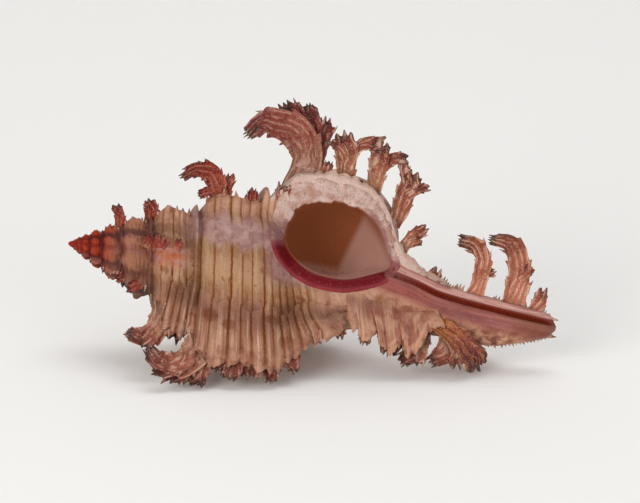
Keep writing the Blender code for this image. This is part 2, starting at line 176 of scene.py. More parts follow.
LEFT_FRONDS = (
    ((22.6, -7.6, 6.4, 2.9), (21.4, -12.6, 10.0, 2.5), (18.8, -15.8, 12.2, 1.6), (15.2, -15.3, 13.4, 0.7)),
    ((21.2, -13.4, 10.6, 1.6), (19.6, -17.3, 13.6, 0.9)),
    ((24.8, -8.4, 6.0, 1.8), (24.8, -14.8, 10.2, 1.3)),
    ((31.0, -10.6, 9.6, 3.4), (30.2, -15.6, 13.4, 3.2), (27.4, -19.2, 16.4, 2.5), (23.6, -19.6, 18.0, 1.6),
     (20.2, -17.4, 18.6, 0.8)),
    ((29.0, -17.0, 14.6, 2.2), (25.4, -20.4, 17.8, 1.8), (21.6, -21.4, 19.4, 1.0)),
    ((29.0, -17.0, 14.4, 2.3), (26.6, -20.8, 17.0, 2.0), (24.8, -22.9, 18.4, 1.4)),
    ((30.0, -15.6, 13.2, 2.3), (29.4, -20.0, 16.2, 2.0), (28.6, -22.9, 17.8, 1.4)),
    ((30.8, -15.6, 13.0, 2.0), (31.4, -19.6, 16.0, 1.4), (31.5, -23.0, 17.6, 0.7)),
    ((35.4, -12.4, 11.2, 2.4), (35.0, -16.8, 13.8, 2.2), (34.4, -19.4, 15.6, 0.8)),
    ((38.2, -12.4, 11.2, 2.2), (37.6, -17.2, 14.2, 1.8), (37.0, -20.6, 16.6, 0.8)),
    ((41.4, -12.6, 11.2, 2.3), (40.8, -17.0, 14.0, 2.1), (40.6, -19.5, 15.6, 1.0)),
    ((44.8, -12.0, 10.0, 2.0), (44.8, -16.2, 12.4, 1.7), (45.2, -19.7, 15.0, 0.7)),
    ((47.4, -9.6, 7.8, 2.0), (48.2, -13.8, 10.4, 1.6), (49.4, -16.9, 13.0, 0.7)),
    ((50.6, -5.6, 5.2, 2.3), (52.2, -10.6, 8.6, 1.1)),
    ((56.0, -5.0, 4.4, 2.2), (56.8, -8.8, 6.6, 1.0)),
    ((62.4, -3.4, 2.6, 1.9), (62.2, -9.0, 5.6, 0.7)),
    ((67.8, -3.0, 1.8, 2.4), (67.8, -7.4, 4.0, 2.2), (67.6, -10.2, 5.4, 0.8)),
    ((72.8, -3.0, 1.4, 2.4), (72.6, -8.2, 4.0, 2.3), (70.6, -11.7, 5.8, 0.8)),
    ((73.2, -6.0, 2.8, 1.6), (74.0, -10.8, 5.2, 0.8)),
    ((79.4, -2.2, 1.2, 2.4), (78.8, -7.6, 3.2, 1.9), (76.2, -10.5, 4.6, 0.8)),
    ((79.6, -5.0, 2.2, 1.6), (81.2, -10.2, 3.8, 1.0)),
    ((76.0, -1.6, -1.6, 1.9), (81.0, -4.8, -2.0, 1.9), (84.2, -6.8, -2.2, 1.7), (86.2, -9.8, -2.6, 1.5)),
)
DORSAL_ANGLE = 255.0
DORSAL_CURL = 0.06
# Fronds of the varix behind: where it stands in x, its length, half its width and how far it leans.
DORSAL_FRONDS = (
    (33.4, 16.4, 2.9, 6.5), (34.8, 16.8, 2.4, 1.2), (33.6, 14.6, 2.2, 9.0), (35.6, 13.4, 2.2, -1.6),
    (41.0, 7.0, 1.8, 0.8), (46.0, 9.5, 1.9, 1.5),
    (51.5, 8.5, 1.8, 0.0), (56.5, 5.5, 1.6, -0.5), (64.0, 5.0, 1.5, 0.0), (71.0, 6.5, 1.6, 1.5),
    (79.0, 8.0, 1.7, 2.5), (87.0, 8.0, 1.7, 3.5),
)

# Frills that join the roots of the fronds: x and the Y that the frill's edge reaches.
LIP_FRILL = (
    (38.6, 15.6), (40.0, 19.0), (42.0, 21.0), (46.0, 23.2), (50.0, 24.4), (54.0, 24.2), (58.0, 22.6),
    (61.0, 20.2), (63.0, 17.0), (65.0, 13.4), (67.5, 10.8), (71.0, 8.6), (75.0, 7.2), (78.0, 6.0),
)
LEFT_FRILL = (
    (20.5, -12.0), (22.5, -13.6), (26.0, -14.6), (27.6, -12.6), (29.2, -15.6), (32.0, -18.0),
    (36.0, -17.8), (41.0, -18.2), (46.0, -17.6), (49.5, -14.6), (51.0, -12.4), (55.0, -9.2), (60.0, -6.6),
)
CANAL_FRILL = (
    (58.0, -6.2), (61.0, -6.8), (62.6, -8.0), (64.6, -6.8), (66.0, -8.2), (67.6, -9.2), (69.4, -7.8),
    (71.0, -9.6), (72.8, -8.8), (74.0, -6.6), (75.4, -5.2), (76.8, -3.4),
)
# Plates seen on the front only: scales on the spire, and the side of the older canal.
SPIRE_SCALES = (
    ((15.6, 1.6, 7.2, 1.0), (16.6, 3.4, 8.8, 1.1), (17.2, 5.0, 9.4, 0.6)),
    ((17.6, 0.8, 7.8, 1.1), (18.4, 3.0, 9.8, 1.2), (18.6, 5.0, 10.6, 0.6)),
    ((21.6, 2.6, 9.8, 0.7), (22.2, 3.8, 10.8, 0.7), (22.4, 4.8, 11.2, 0.4)),
    ((13.0, -3.6, 4.6, 1.0), (12.4, -4.6, 5.6, 0.9), (11.0, -5.2, 6.2, 0.5)),
    ((16.4, -4.4, 6.2, 1.2), (15.4, -5.6, 7.4, 1.1), (13.6, -6.6, 8.2, 0.6)),
)
OLD_CANAL = (
    ((73.0, -0.6, -0.6, 1.3), (75.0, -1.6, 3.0, 1.7), (78.0, -3.1, 5.2, 2.1), (81.6, -5.2, 5.0, 2.1),
     (84.2, -7.6, 3.6, 1.9), (85.6, -9.8, 1.6, 1.4)),
    ((82.6, -5.6, 2.8, 1.2), (85.4, -7.0, 2.2, 1.1), (86.8, -8.6, 1.2, 0.6)),
)
# How ragged a skirt's edge is: the scale and the size of each noise in it.
EDGE_NOISE = ((0.45, 0.45), (1.1, 0.45), (3.4, 0.5))
FRILL_PITCH = 2.3
FRILL_ROOT = 1.6
# Teeth along the canal: first and last x, step, first and last angle, and size.
CANAL_TEETH = (
    (66, 80, 0.5, -14, 8, 1.0), (86, 98.0, 0.6, -30, -8, 0.8),
    (84, 98.4, 0.7, 172, 200, 0.4), (84, 97, 1.2, 205, 240, 0.4),
)
# The points at the canal's end: x, angle and length.
CANAL_POINTS = ((97.8, 352, 2.4), (96.8, 330, 2.2), (98.2, 196, 2.2), (96.6, 215, 2.4))
THORN_RINGS = 7
LINING_POINTS = 330
HOLLOW_POINTS = 66
# The lip's section: how far outside the aperture's edge and how far above the shell, in mm.
LIP_SECTION = (
    (5.7, -2.2), (5.4, -0.2), (4.4, 0.12), (3.4, 0.28), (2.5, 0.38), (1.6, 0.44), (0.9, 0.46), (0.4, 0.42),
    (0.0, 0.26), (-0.26, -0.5), (-0.44, -1.6),
)
COLUMELLA_SECTION = (
    (3.0, -1.6), (2.8, -0.4), (2.5, 0.14), (2.1, 0.34), (1.7, 0.42), (1.2, 0.44), (0.8, 0.42), (0.4, 0.36),
    (0.0, 0.2), (-0.26, -0.5), (-0.44, -1.6),
)
LIP_REACH = (0.5, 0.8, 1.0, 1.0, 0.75, 0.42, 0.35, 0.5, 1.0, 1.0, 0.6, 0.5)

CREAM = (146, 107, 72)
ROSE = (182, 134, 112)
MAUVE = (152, 108, 96)
OCHRE = (158, 98, 40)
BROWN_LINE = (98, 46, 6)
BLOTCH = (124, 58, 14)
SPIRE_ROSE = (114, 52, 32)
APEX_RED = (136, 26, 4)
CALLUS = (130, 88, 88)
CANAL_PINK = (140, 66, 62)
CANAL_DEEP = (108, 26, 26)
CANAL_PALE = (196, 152, 140)
SLIT_RED = (104, 28, 8)
CRIMSON = (98, 2, 12)
CRIMSON_EDGE = (132, 44, 50)
LIP_WHITE = (200, 174, 164)
# The hollow inside the aperture: painted shade for its shaded wall and painted light for its lit wall.
INSIDE_PAINTED_SHADE = (112, 60, 34)
INSIDE_LIT = (140, 102, 90)
# Darker brown spots on the front: x, Y and radius in mm.
SPOTS = (
    (31.0, -8.8, 1.9), (35.0, -10.0, 1.6), (47.2, -11.6, 1.9), (40.0, -17.6, 1.3), (40.2, 1.8, 1.1),
    (46.5, 0.4, 1.2), (63.4, 0.5, 0.9), (38.9, -1.5, 0.35), (43.0, -7.5, 1.2), (28.4, 8.2, 0.8),
    (50.0, -13.0, 1.4),
)
# Channel colour, partly the leaves' own brown and partly painted shade, and ridge-top colour, a painted
# highlight.
VALLEY = (120, 54, 36)
CREST = (222, 186, 162)
# Each kind of leaf: five colours from root to tip, then its valleys, partly its own brown and partly
# painted shade, and its crests, a painted highlight.
LEAVES = {
    "lip_frond": ((196, 158, 140), (176, 124, 96), (150, 84, 58), (116, 40, 26), (52, 16, 10),
                  VALLEY, CREST),
    "lip_branch": ((184, 144, 126), (146, 96, 76), (136, 60, 48), (112, 32, 28), (52, 16, 10),
                   (112, 44, 34), (200, 156, 136)),
    "canal_frond": ((206, 146, 120), (186, 116, 90), (158, 88, 62), (118, 54, 36), (54, 22, 14),
                    (132, 50, 34), CREST),
    "spire_frond": ((160, 104, 82), (146, 64, 42), (134, 34, 20), (104, 20, 10), (56, 12, 8),
                    (88, 20, 10), (180, 112, 88)),
    "left_frond": ((196, 156, 130), (192, 144, 118), (164, 94, 74), (122, 50, 38), (54, 18, 12),
                   (146, 82, 60), CREST),
    "old_canal_side": ((150, 86, 26), (156, 88, 34), (138, 62, 40), (108, 30, 34), (70, 16, 20),
                       (84, 34, 16), (184, 126, 78)),
    "lip_frill": ((204, 178, 166), (196, 164, 150), (184, 140, 116), (162, 108, 78), (110, 60, 40),
                  (170, 122, 106), CREST),
}
# Each group of fronds: its piece, its stations, the way its channels open and its leaf.
FROND_GROUPS = (
    ("lip_fronds", LIP_FRONDS[4:], (0.0, 0.0, 1.0), "lip_frond"),
    ("lip_branches", LIP_FRONDS[:4], (0.0, 0.0, 1.0), "lip_branch"),
    ("canal_fronds", CANAL_FRONDS, (0.0, 0.0, 1.0), "canal_frond"),
    ("old_canal", OLD_CANAL, (0.0, 0.5, 0.86), "old_canal_side"),
    ("spire_fronds", SPIRE_FRONDS + SPIRE_SCALES, (0.0, -0.3, 1.0), "spire_frond"),
    ("left_fronds", LEFT_FRONDS, (0.0, 0.5, 0.86), "left_frond"),
)


def curve_through(xs, ys, x):
    """A smooth curve through the points xs, ys, read at x."""
    xs = np.asarray(xs, float)
    ys = np.asarray(ys, float)
    x = np.clip(x, xs[0], xs[-1])
    slope = np.diff(ys) / np.diff(xs)
    tangent = np.concatenate([slope[:1], (slope[1:] + slope[:-1]) / 2, slope[-1:]])
    turning = np.concatenate([[False], slope[1:] * slope[:-1] <= 0, [False]])
    tangent[turning] = 0.0
    i = np.clip(np.searchsorted(xs, x, side="right") - 1, 0, len(xs) - 2)
    step = xs[i + 1] - xs[i]
    t = (x - xs[i]) / step
    rise = (2 * t**3 - 3 * t**2 + 1) * ys[i] + (3 * t**2 - 2 * t**3) * ys[i + 1]
    lean = (t**3 - 2 * t**2 + t) * tangent[i] + (t**3 - t**2) * tangent[i + 1]
    return rise + lean * step


def smooth(low, high, x):
    """0 below low, 1 above high and a soft step between; low may be the larger."""
    t = np.clip((x - low) / (high - low), 0, 1)
    return t * t * (3 - 2 * t)


def bell(x, middle, width):
    return np.exp(-(((x - middle) / width) ** 2))


def value_noise(scale, x, y, z):
    """Soft noise from -1 to 1 at x, y, z, with lumps about scale across."""
    at = np.stack(np.broadcast_arrays(x, y, z), axis=-1) / scale
    base = np.floor(at).astype(int)
    part = at - base
    part = part * part * (3 - 2 * part)
    total = 0.0
    for corner in range(8):
        shift = np.array([corner >> 2 & 1, corner >> 1 & 1, corner & 1])
        i, j, k = np.moveaxis((base + shift) % LATTICE_SIZE, -1, 0)
        weight = np.prod(np.where(shift, part, 1 - part), axis=-1)
        total = total + weight * LATTICE[i, j, k]
    return total


def suture_x(angle):
    return SUTURE_X * AXIAL_GROWTH ** ((angle - SUTURE_ANGLE) / 360)


def shoulder_radius(angle):
    return SHOULDER_RADIUS * RADIAL_GROWTH ** (angle / 360)


def past_varix(angle):
    return (angle - LIP_ANGLE) % VARIX_STEP


def varix_bump(angle):
    """1 on a varix, falling to 0 behind and before it."""
    past = past_varix(angle)
    ahead = VARIX_STEP - past
    return np.maximum(np.exp(-((ahead / VARIX_BACK) ** 2)), np.exp(-((past / VARIX_FRONT) ** 2)))


def rib_bump(angle):
    ahead = VARIX_STEP - past_varix(angle)
    return bell(ahead, RIB_BEHIND_VARIX, RIB_WIDTH)


def canal_at(x):
    """The canal's middle in Y and Z and its half widths, at x."""
    xs, *columns = zip(*CANAL)
    return [curve_through(xs, column, x) for column in columns]


def surface(x, angle):
    """The outside at x and angle: its radius, and each point's place along and across the coil."""
    angle = LIP_ANGLE - (LIP_ANGLE - angle) % 360
    places, sizes = zip(*FULLNESS)
    nucleus = np.minimum(x / NUCLEUS_LENGTH, 1.0)
    widest = NUCLEUS_RADIUS * np.sin(math.pi / 2 * nucleus) ** 0.7
    along_coil = angle - 360.0 * TURNS
    across = np.zeros_like(widest)
    for turn in range(TURNS):
        along = angle - 360 * turn
        start = suture_x(along)
        place = (x - start) / (suture_x(along + 360) - start)
        radius = shoulder_radius(along) * curve_through(places, sizes, place)
        edge = np.clip(place / 0.3, 0, 1) * np.clip((1.6 - place) / 0.3, 0, 1)
        swelling = VARIX_HEIGHT * varix_bump(along) + RIB_HEIGHT * rib_bump(along)
        radius = radius * (1 + swelling * edge)
        wins = radius > widest
        widest = np.where(wins, radius, widest)
        along_coil = np.where(wins, along, along_coil)
        across = np.where(wins, place, across)
    first = suture_x(angle)
    last_place = (x - first) / (suture_x(angle + 360) - first)
    base = last_place > 0
    along_coil = np.where(base, angle, along_coil)
    across = np.where(base, last_place, across)
    _, _, half_y, half_z = canal_at(x)
    turned = np.radians(angle)
    canal = 1 / np.hypot(np.cos(turned) / half_y, np.sin(turned) / half_z)
    canal = np.where(x < CANAL[0][0], 0.0, canal)
    return (widest**4 + canal**4) ** 0.25, along_coil, across


def surface_point(x, angle):
    """Points of the outside, without its fine relief."""
    x, angle = np.broadcast_arrays(np.asarray(x, float), np.asarray(angle, float))
    radius, _, _ = surface(x, angle)
    middle_y, middle_z, _, _ = canal_at(x)
    turned = np.radians(angle)
    return np.stack(
        [x, middle_y + radius * np.cos(turned), middle_z + radius * np.sin(turned)], axis=-1
    )


def band_relief(place):
    """0 in the grooves that carry the lines, rising to 1 on the bands between."""
    near = np.min([np.abs(place - middle) for middle, _ in LINES], axis=0)
    return 1 - np.exp(-((np.minimum(near, 1.0) / GROOVE_WIDTH) ** 2))


def canal_flutes(_, x):
    """The flutes of the skirt beside the canal, broad ones with finer ones between."""
    return 1.15 * np.abs(np.cos(x * 1.15)) ** 0.5 + 0.5 * np.abs(np.cos(x * 4.1))


def directions(angle):
    """The way out from the axis at an angle, and the way that the shell grows there."""
    turned = math.radians(angle)
    out = np.array((0.0, math.cos(turned), math.sin(turned)))
    return out, np.array((0.0, -math.sin(turned), math.cos(turned)))


class Growth:
    """Points, faces and marks of many small shapes, gathered for one piece."""

    def __init__(self):
        self.points = []
        self.faces = []
        self.marks = {}
        self.count = 0

    def add(self, points, faces, **marks):
        points = np.asarray(points, float).reshape(-1, 3)
        self.faces.extend([[corner + self.count for corner in face] for face in faces])
        self.points.append(points)
        for name in {**self.marks, **marks}:
            value = np.broadcast_to(np.ravel(marks.get(name, 0.0)), len(points))
            self.marks.setdefault(name, [np.zeros(self.count)] if self.count else []).append(value)
        self.count += len(points)


def grid_faces(rows, columns, closed):
    """Quads over a grid of points stored row by row."""
    i, j = np.meshgrid(np.arange(rows - 1), np.arange(columns if closed else columns - 1), indexing="ij")
    a = i * columns + j
    b = i * columns + (j + 1) % columns
    return np.stack([a, b, b + columns, a + columns], axis=-1).reshape(-1, 4)


def unit(vectors):
    return vectors / np.maximum(np.linalg.norm(vectors, axis=-1, keepdims=True), 1e-9)


def tube_faces(rings, around):
    """Faces of a tube of rings, with a flat face at each end."""
    last = (rings - 1) * around
    ends = [list(range(around))[::-1], list(range(last, last + around))]
    return grid_faces(rings, around, True).tolist() + ends


def sheet_faces(rows, columns):
    """Faces of a thin closed sheet: a ring a row, first the front's columns, then the back's."""
    sides = grid_faces(rows, 2 * columns, True)
    i = np.arange(columns - 1)
    cap = np.stack([i, 2 * columns - 1 - i, 2 * columns - 2 - i, i + 1], axis=-1)
    tip = cap[:, ::-1] + (rows - 1) * 2 * columns
    return np.concatenate([sides, cap, tip]).tolist()


def add_sheet(growth, front, back, **marks):
    """A closed sheet from the grids of its front and back, with marks given a grid each."""
    rows, columns = front.shape[:2]
    doubled = {}
    for name, value in marks.items():
        value = np.broadcast_to(value, (rows, columns))
        doubled[name] = np.concatenate([value, value[:, ::-1]], axis=1)
    growth.add(np.concatenate([front, back[:, ::-1]], axis=1), sheet_faces(rows, columns), **doubled)


def add_thorn(growth, foot, ahead, length, radius, bend, tip):
    """A small curved thorn."""
    share = np.linspace(0, 1, THORN_RINGS)[:, None]
    middle = foot + ahead * length * share + bend * length * share**2
    side = unit(np.cross(ahead, (0.3, 0.5, 0.8)))
    other = np.cross(ahead, side)
    turned = np.arange(THORN_RINGS) / THORN_RINGS * 2 * math.pi
    ring = side * np.cos(turned)[:, None] + other * np.sin(turned)[:, None]
    points = middle[:, None] + ring * (radius * (1 - share**1.3)[:, :, None] + 0.03)
    growth.add(points, tube_faces(THORN_RINGS, THORN_RINGS),
               tip=np.repeat(tip + (1 - tip) * share.ravel(), THORN_RINGS))


def frond(growth, stations, opens_to, random, drift=0.0, thorn_gap=4.5):
    """A channelled frond through its stations, ridged along and ragged at its end."""
    stations = np.array(stations, float)
    root_x, root_y, root_z = stations[0, :3]
    stem, _, _ = surface(root_x, np.degrees(math.atan2(root_z, root_y)))
    branch = math.hypot(root_y, root_z) > stem + 1.5
    knots = np.arange(len(stations))
    rough = np.linspace(0, knots[-1], 60)
    path = np.array([curve_through(knots, column, rough) for column in stations.T]).T
    run = np.concatenate([[0], np.cumsum(np.linalg.norm(np.diff(path[:, :3], axis=0), axis=1))])
    length = run[-1]
    rows = int(length / 0.28) + 12
    along = np.linspace(0, length, rows)
    reads = np.interp(along, run, rough)
    curve = np.array([curve_through(knots, column, reads) for column in stations.T]).T
    middle, half = curve[:, :3], curve[:, 3]
    ahead = unit(np.gradient(middle, axis=0))
    side = unit(np.cross(ahead, opens_to))
    face = np.cross(side, ahead)
    share = (along / length)[:, None]
    across = np.sin(np.linspace(-1, 1, FROND_COLUMNS) * math.pi / 2)[None, :]
    edge = np.abs(across)
    lumps = value_noise(1.0, along[:, None] / 3, across * 1.2, random.random() * 50)
    ridges = max(3, round(half.max() * 1.9))
    spread = across * (1 - 0.32 * share) - drift * share
    phase = ridges * (spread + 1) / 2 + 0.5 * lumps
    broad = np.abs(np.cos(math.pi * phase))
    crest = 0.7 * broad**0.8 + 0.3 * np.abs(np.cos(2.3 * math.pi * phase + 1.5 * lumps))
    point = broad**2.2
    reach = np.interp(across, np.linspace(-1, 1, ridges + 1), random.random(ridges + 1) * 1.3 + 0.15)
    ending = smooth(0.66, 1.0, share)
    pitch = max(1.5 * half.max(), 2.0)
    saw = (along[:, None] / pitch + np.where(across < 0, *random.random(2))) % 1.0
    barb = saw**4 * (1 - smooth(0.9, 1.0, saw)) * smooth(0.6, 1.0, edge) * smooth(0.25, 0.5, share)
    flare = -0.25 if branch else 0.45
    width = half[:, None] * (1 + flare * smooth(0.25, 0.0, share) + 0.4 * smooth(0.4, 0.95, share))
    ripple = 0.2 * (crest - 0.6) * smooth(0.5, 1.0, edge) * smooth(0.1, 0.3, share)
    width = width * (1 + 0.4 * barb + 0.05 * lumps + ripple)
    channel = -FROND_CHANNEL * (1 - across**2) * (1 - 0.4 * ending)
    lift = half[:, None] * (channel + 0.2 * (crest - 0.5) + 0.16 * edge**4 * ending)
    lift = lift + 0.16 * lumps + 0.25 * half[:, None] * ending * (reach - 0.8)
    forward = half[:, None] * (ending * (1.25 * point * reach - 0.55) + 0.4 * barb - 0.15 * edge * ending)
    front = (middle[:, None] + side[:, None] * (width * across)[..., None]
             + face[:, None] * lift[..., None] + ahead[:, None] * forward[..., None])
    thickness = (0.3 + (FROND_THICKNESS - 0.3) * (1 - edge**2)) * (1.2 - 0.7 * share)
    thickness = thickness * (0.7 + 0.3 * crest) * (1 - 0.45 * ending)
    drawn_in = side[:, None] * (0.1 * across * thickness)[..., None]
    back = front - face[:, None] * thickness[..., None] - drawn_in
    if branch:
        sunk = face[:, None] * (0.5 * smooth(0.3, 0.0, share))[..., None]
        front = front - sunk
        back = back - sunk
    add_sheet(growth, front, back, tip=0.42 + 0.58 * share if branch else share, pit=crest - 1)
    for number in range(int(length / thorn_gap)):
        row = int(rows * (0.3 + 0.6 * random.random()))
        sign = -1 if number % 2 else 1
        column = 0 if sign < 0 else FROND_COLUMNS - 1
        foot = front[row, column] - face[row] * 0.15 - side[row] * sign * 0.2
        out = unit(side[row] * sign * 0.7 + ahead[row] + face[row] * (random.random() - 0.3))
        size = half[row] * (0.25 + 0.35 * random.random())
        add_thorn(growth, foot, out, size + 0.3, 0.16 + 0.1 * half[row], ahead[row] * 0.5, share[row, 0])


def add_lip_frill(growth, random):
    """The low fluted frill along the lip, its edge reaching the Y of LIP_FRILL."""
    xs, reach = zip(*LIP_FRILL)
    x = np.arange(xs[0], xs[-1], 0.24)
    foot = surface_point(x, LIP_ANGLE - 0.5)
    out = np.array((0, 0.96, 0.28))
    forward = np.array((0, -0.28, 0.96))
    height = np.maximum((np.interp(x, xs, reach) - foot[:, 1]) / out[1], 0.3)
    fade = smooth(xs[0], xs[0] + 1.5, x) * smooth(xs[-1], xs[-1] - 1.5, x)
    wobble = value_noise(3.0, x, 0, random.random() * 60)
    phase = (x + 0.8 * wobble) / FRILL_PITCH + random.random()
    scallop = np.abs(np.cos(math.pi * phase)) ** 0.6
    share = np.linspace(0, 1, 16)[:, None]
    tall = height * (0.72 + 0.28 * scallop) * fade + 0.35 * value_noise(0.6, x, 0, 7) * fade
    up = -FRILL_ROOT + (tall + FRILL_ROOT) * share
    raised = np.clip(up / np.maximum(tall, 0.3), 0, 1)
    wave = np.cos(2 * math.pi * phase) * 0.42 * raised * np.minimum(tall, 4) / 3
    steps = 0.12 * ((up / 0.9 + 0.2 * wobble) % 1.0) * raised
    front = foot[None] + out * up[..., None] + forward * (1.2 * raised**2 + wave + steps + 0.35)[..., None]
    back = front - forward * (0.9 * (1 - 0.7 * raised) + 0.35)[..., None]
    add_sheet(growth, front.transpose(1, 0, 2), back.transpose(1, 0, 2),
              tip=(0.02 + 0.4 * raised**3).T, pit=(wave - 0.3).T)


def whorl_place(x, angle):
    """The place across the whorl at x, for the turn that shows there."""
    start = suture_x(angle)
    last = (x - start) / (suture_x(angle + 360) - start)
    earlier = (x - suture_x(angle - 360)) / (start - suture_x(angle - 360))
    return np.where(last > 0, last, earlier)


def skirt(growth, edge_line, start, turn, bulge, bands_of, drop, slope, fan):
    """A flared sheet that rises from the shell at one angle and runs out to a ragged, folded edge."""
    xs, reach = zip(*edge_line)
    foot_x = np.arange(xs[0] - 1, xs[-1] - 1, 0.16)
    foot = surface_point(foot_x, start)
    edge_x = foot_x * AXIAL_GROWTH ** (turn / 360) + np.interp(foot_x, *fan)
    body = surface_point(edge_x, 135.0)
    place = whorl_place(foot_x, start)
    bands = bands_of(place, foot_x)
    fade = smooth(xs[0], xs[0] + 1.6, edge_x) * smooth(xs[-1], xs[-1] - 3.5, edge_x)
    edge_y = body[:, 1] + (np.interp(edge_x, xs, reach) - body[:, 1]) * fade
    ragged = sum(value_noise(scale, edge_x, 0, 3) * size for scale, size in EDGE_NOISE)
    down = unit(np.array((0.0, -1.0, slope)))
    edge = np.stack([edge_x, edge_y, body[:, 2] - drop - slope * (edge_y - body[:, 1])], -1)
    edge = edge + down * ((1.3 * bands - 0.8 + ragged) * fade)[:, None]
    out, growing = directions(start)
    q = np.linspace(0, 1, 50)[:, None, None]
    front = ((1 - q) ** 3 * (foot - out * 0.35) + 3 * q * (1 - q) ** 2 * (foot + growing * bulge)
             + 3 * q**2 * (1 - q) * (edge - down * bulge * 0.75) + q**3 * edge)
    q = q[..., 0]
    lumps = value_noise(1.0, front[..., 0] / 2, q * 6, 5.0)
    fine = np.abs(np.sin(foot_x * 2.9 + 1.2 * lumps)) * 0.14 * smooth(0.3, 1.0, q)
    fold = (bands - 0.6) * (0.08 + 0.4 * smooth(0.2, 1.0, q)) + 0.38 * lumps + fine
    steps = 0.12 * ((q * 5 + 0.9 * lumps) % 1.0)
    curl = 0.5 * smooth(0.75, 1.0, q) * np.sin(foot_x * 2.3 + 2 * lumps)
    upward = np.array((0.0, 0.35, 0.94))
    front = front + upward * (fold * fade + curl * fade + steps + 0.3 * smooth(0.0, 0.2, q))[..., None]
    back = front - upward * (1.2 - 0.9 * q)[..., None]
    add_sheet(growth, front, back, band=place, coil=(start + turn * q) / 100, pit=0.9 * (fold + steps),
              tip=smooth(0.5, 1.0, q) * fade, size=1.0, slit=30.0, shade=bell(q, 0.3, 0.2))


def add_canal_edge(growth, random):
    """Small teeth along the two edges of the canal, and the points at its end."""
    for low, high, step, first, last, size in CANAL_TEETH:
        for x in np.arange(low, high, step):
            angle = first + (last - first) * random.random()
            out, _ = directions(angle)
            foot = surface_point(x, angle)
            ahead = unit(out + np.array((0.3 + 0.7 * random.random(), 0, 0)))
            add_thorn(growth, foot - out * 0.3, ahead, size * (0.6 + 0.8 * random.random()) + 0.3,
                      0.32 + 0.15 * random.random(), out * 0.2, 0.6)
    for x, angle, length in CANAL_POINTS:
        out, _ = directions(angle)
        foot = surface_point(x, angle) - out * 0.55
        add_thorn(growth, foot, unit(out * 0.1 + np.array((1.0, 0, 0))), length, 0.6, out * -0.1, 0.45)


def add_varix_spines(growth, random):
    """Small spines along the older varices, one on each band."""
    middles = [(a[0] + b[0]) / 2 for a, b in zip(LINES[:-1], LINES[1:])]
    for number in range(1, 17):
        along = LIP_ANGLE - VARIX_STEP * number
        out, growing = directions(along)
        start, end = suture_x(along), suture_x(along + 360)
        radius = shoulder_radius(along) * (1 + VARIX_HEIGHT)
        for middle in middles:
            if number >= 3 and middle > 0.95:
                continue
            foot = surface_point(start + middle * (end - start), along - 2 + 3 * random.random())
            size = radius * (0.07 + 0.07 * random.random()) + 0.15
            lean = np.array((-0.35 + 0.3 * random.random(), 0, 0))
            add_thorn(growth, foot - out * 0.3, unit(out + lean), size, 0.12 + 0.022 * radius,
                      growing * 0.4, 0.55)


def to_world(points):
    return (np.asarray(points, float) @ TURN.T + REST_SHIFT) * MM


def new_mesh(name, points, faces):
    mesh = bpy.data.meshes.new(name)
    mesh.from_pydata(np.asarray(points).tolist(), [], faces)
    made = bpy.data.objects.new(name, mesh)
    bpy.context.scene.collection.objects.link(made)
    return made


def set_marks(piece, **marks):
    """Floats kept on the points of a piece, for its material."""
    for name, value in marks.items():
        value = np.asarray(value, np.float32)
        kind = "FLOAT_VECTOR" if value.ndim == 2 else "FLOAT"
        layer = piece.data.attributes.new(name, kind, "POINT")
        layer.data.foreach_set("vector" if value.ndim == 2 else "value", value.ravel())


def coordinates(piece):
    found = np.empty(len(piece.data.vertices) * 3)
    piece.data.vertices.foreach_get("co", found)
    return found.reshape(-1, 3)


def dress(piece, material):
    """Moves a piece from the shell's frame to the world's, smooths it and ties it to the solid."""
    places = coordinates(piece)
    set_marks(piece, grown=places)
    laid = to_world(places)
    laid[:, 2] = np.maximum(laid[:, 2], 0.0)
    piece.data.vertices.foreach_set("co", laid.ravel())
    piece.data.materials.clear()
    piece.data.materials.append(material)
    piece.data.shade_smooth()
    piece.data.update()
    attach(piece, "root")
    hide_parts("shell")


def slit_side(x, y):
    """How far a place lies above the slit, in mm."""
    xs, ys = zip(*SLIT)
    return y - curve_through(xs, ys, x)


def glaze_mask(x, angle, y, z):
    """Where the inner lip has spread its glaze over the whorl, from 0 to 1."""
    wander = 0.7 * np.sin(x * 1.1) + 0.4 * np.sin(x * 2.7 + 1)
    front = smooth(4.6, 6.4, y + wander) * smooth(12.4, 9.6, y - wander) * smooth(88, 78, angle)
    parietal = smooth(20.0, 27.0, x) * smooth(66.0, 62.0, x)
    near = smooth(37.5, 41.0, x + 0.25 * (y - 9)) * smooth(-1.2, 1.5, y) * smooth(60.0, 56.0, x)
    body = np.maximum(front * parietal, near * smooth(14, 30, angle) * smooth(118, 100, angle))
    side = slit_side(x, y)
    floor = smooth(60.0, 64.0, x) * smooth(-5.2, -3.0, side) * smooth(-1.2, 0.6, z - canal_at(x)[1])
    floor = floor * smooth(2.6, 1.6, side)
    return np.clip(np.maximum(body, floor), 0, 1)


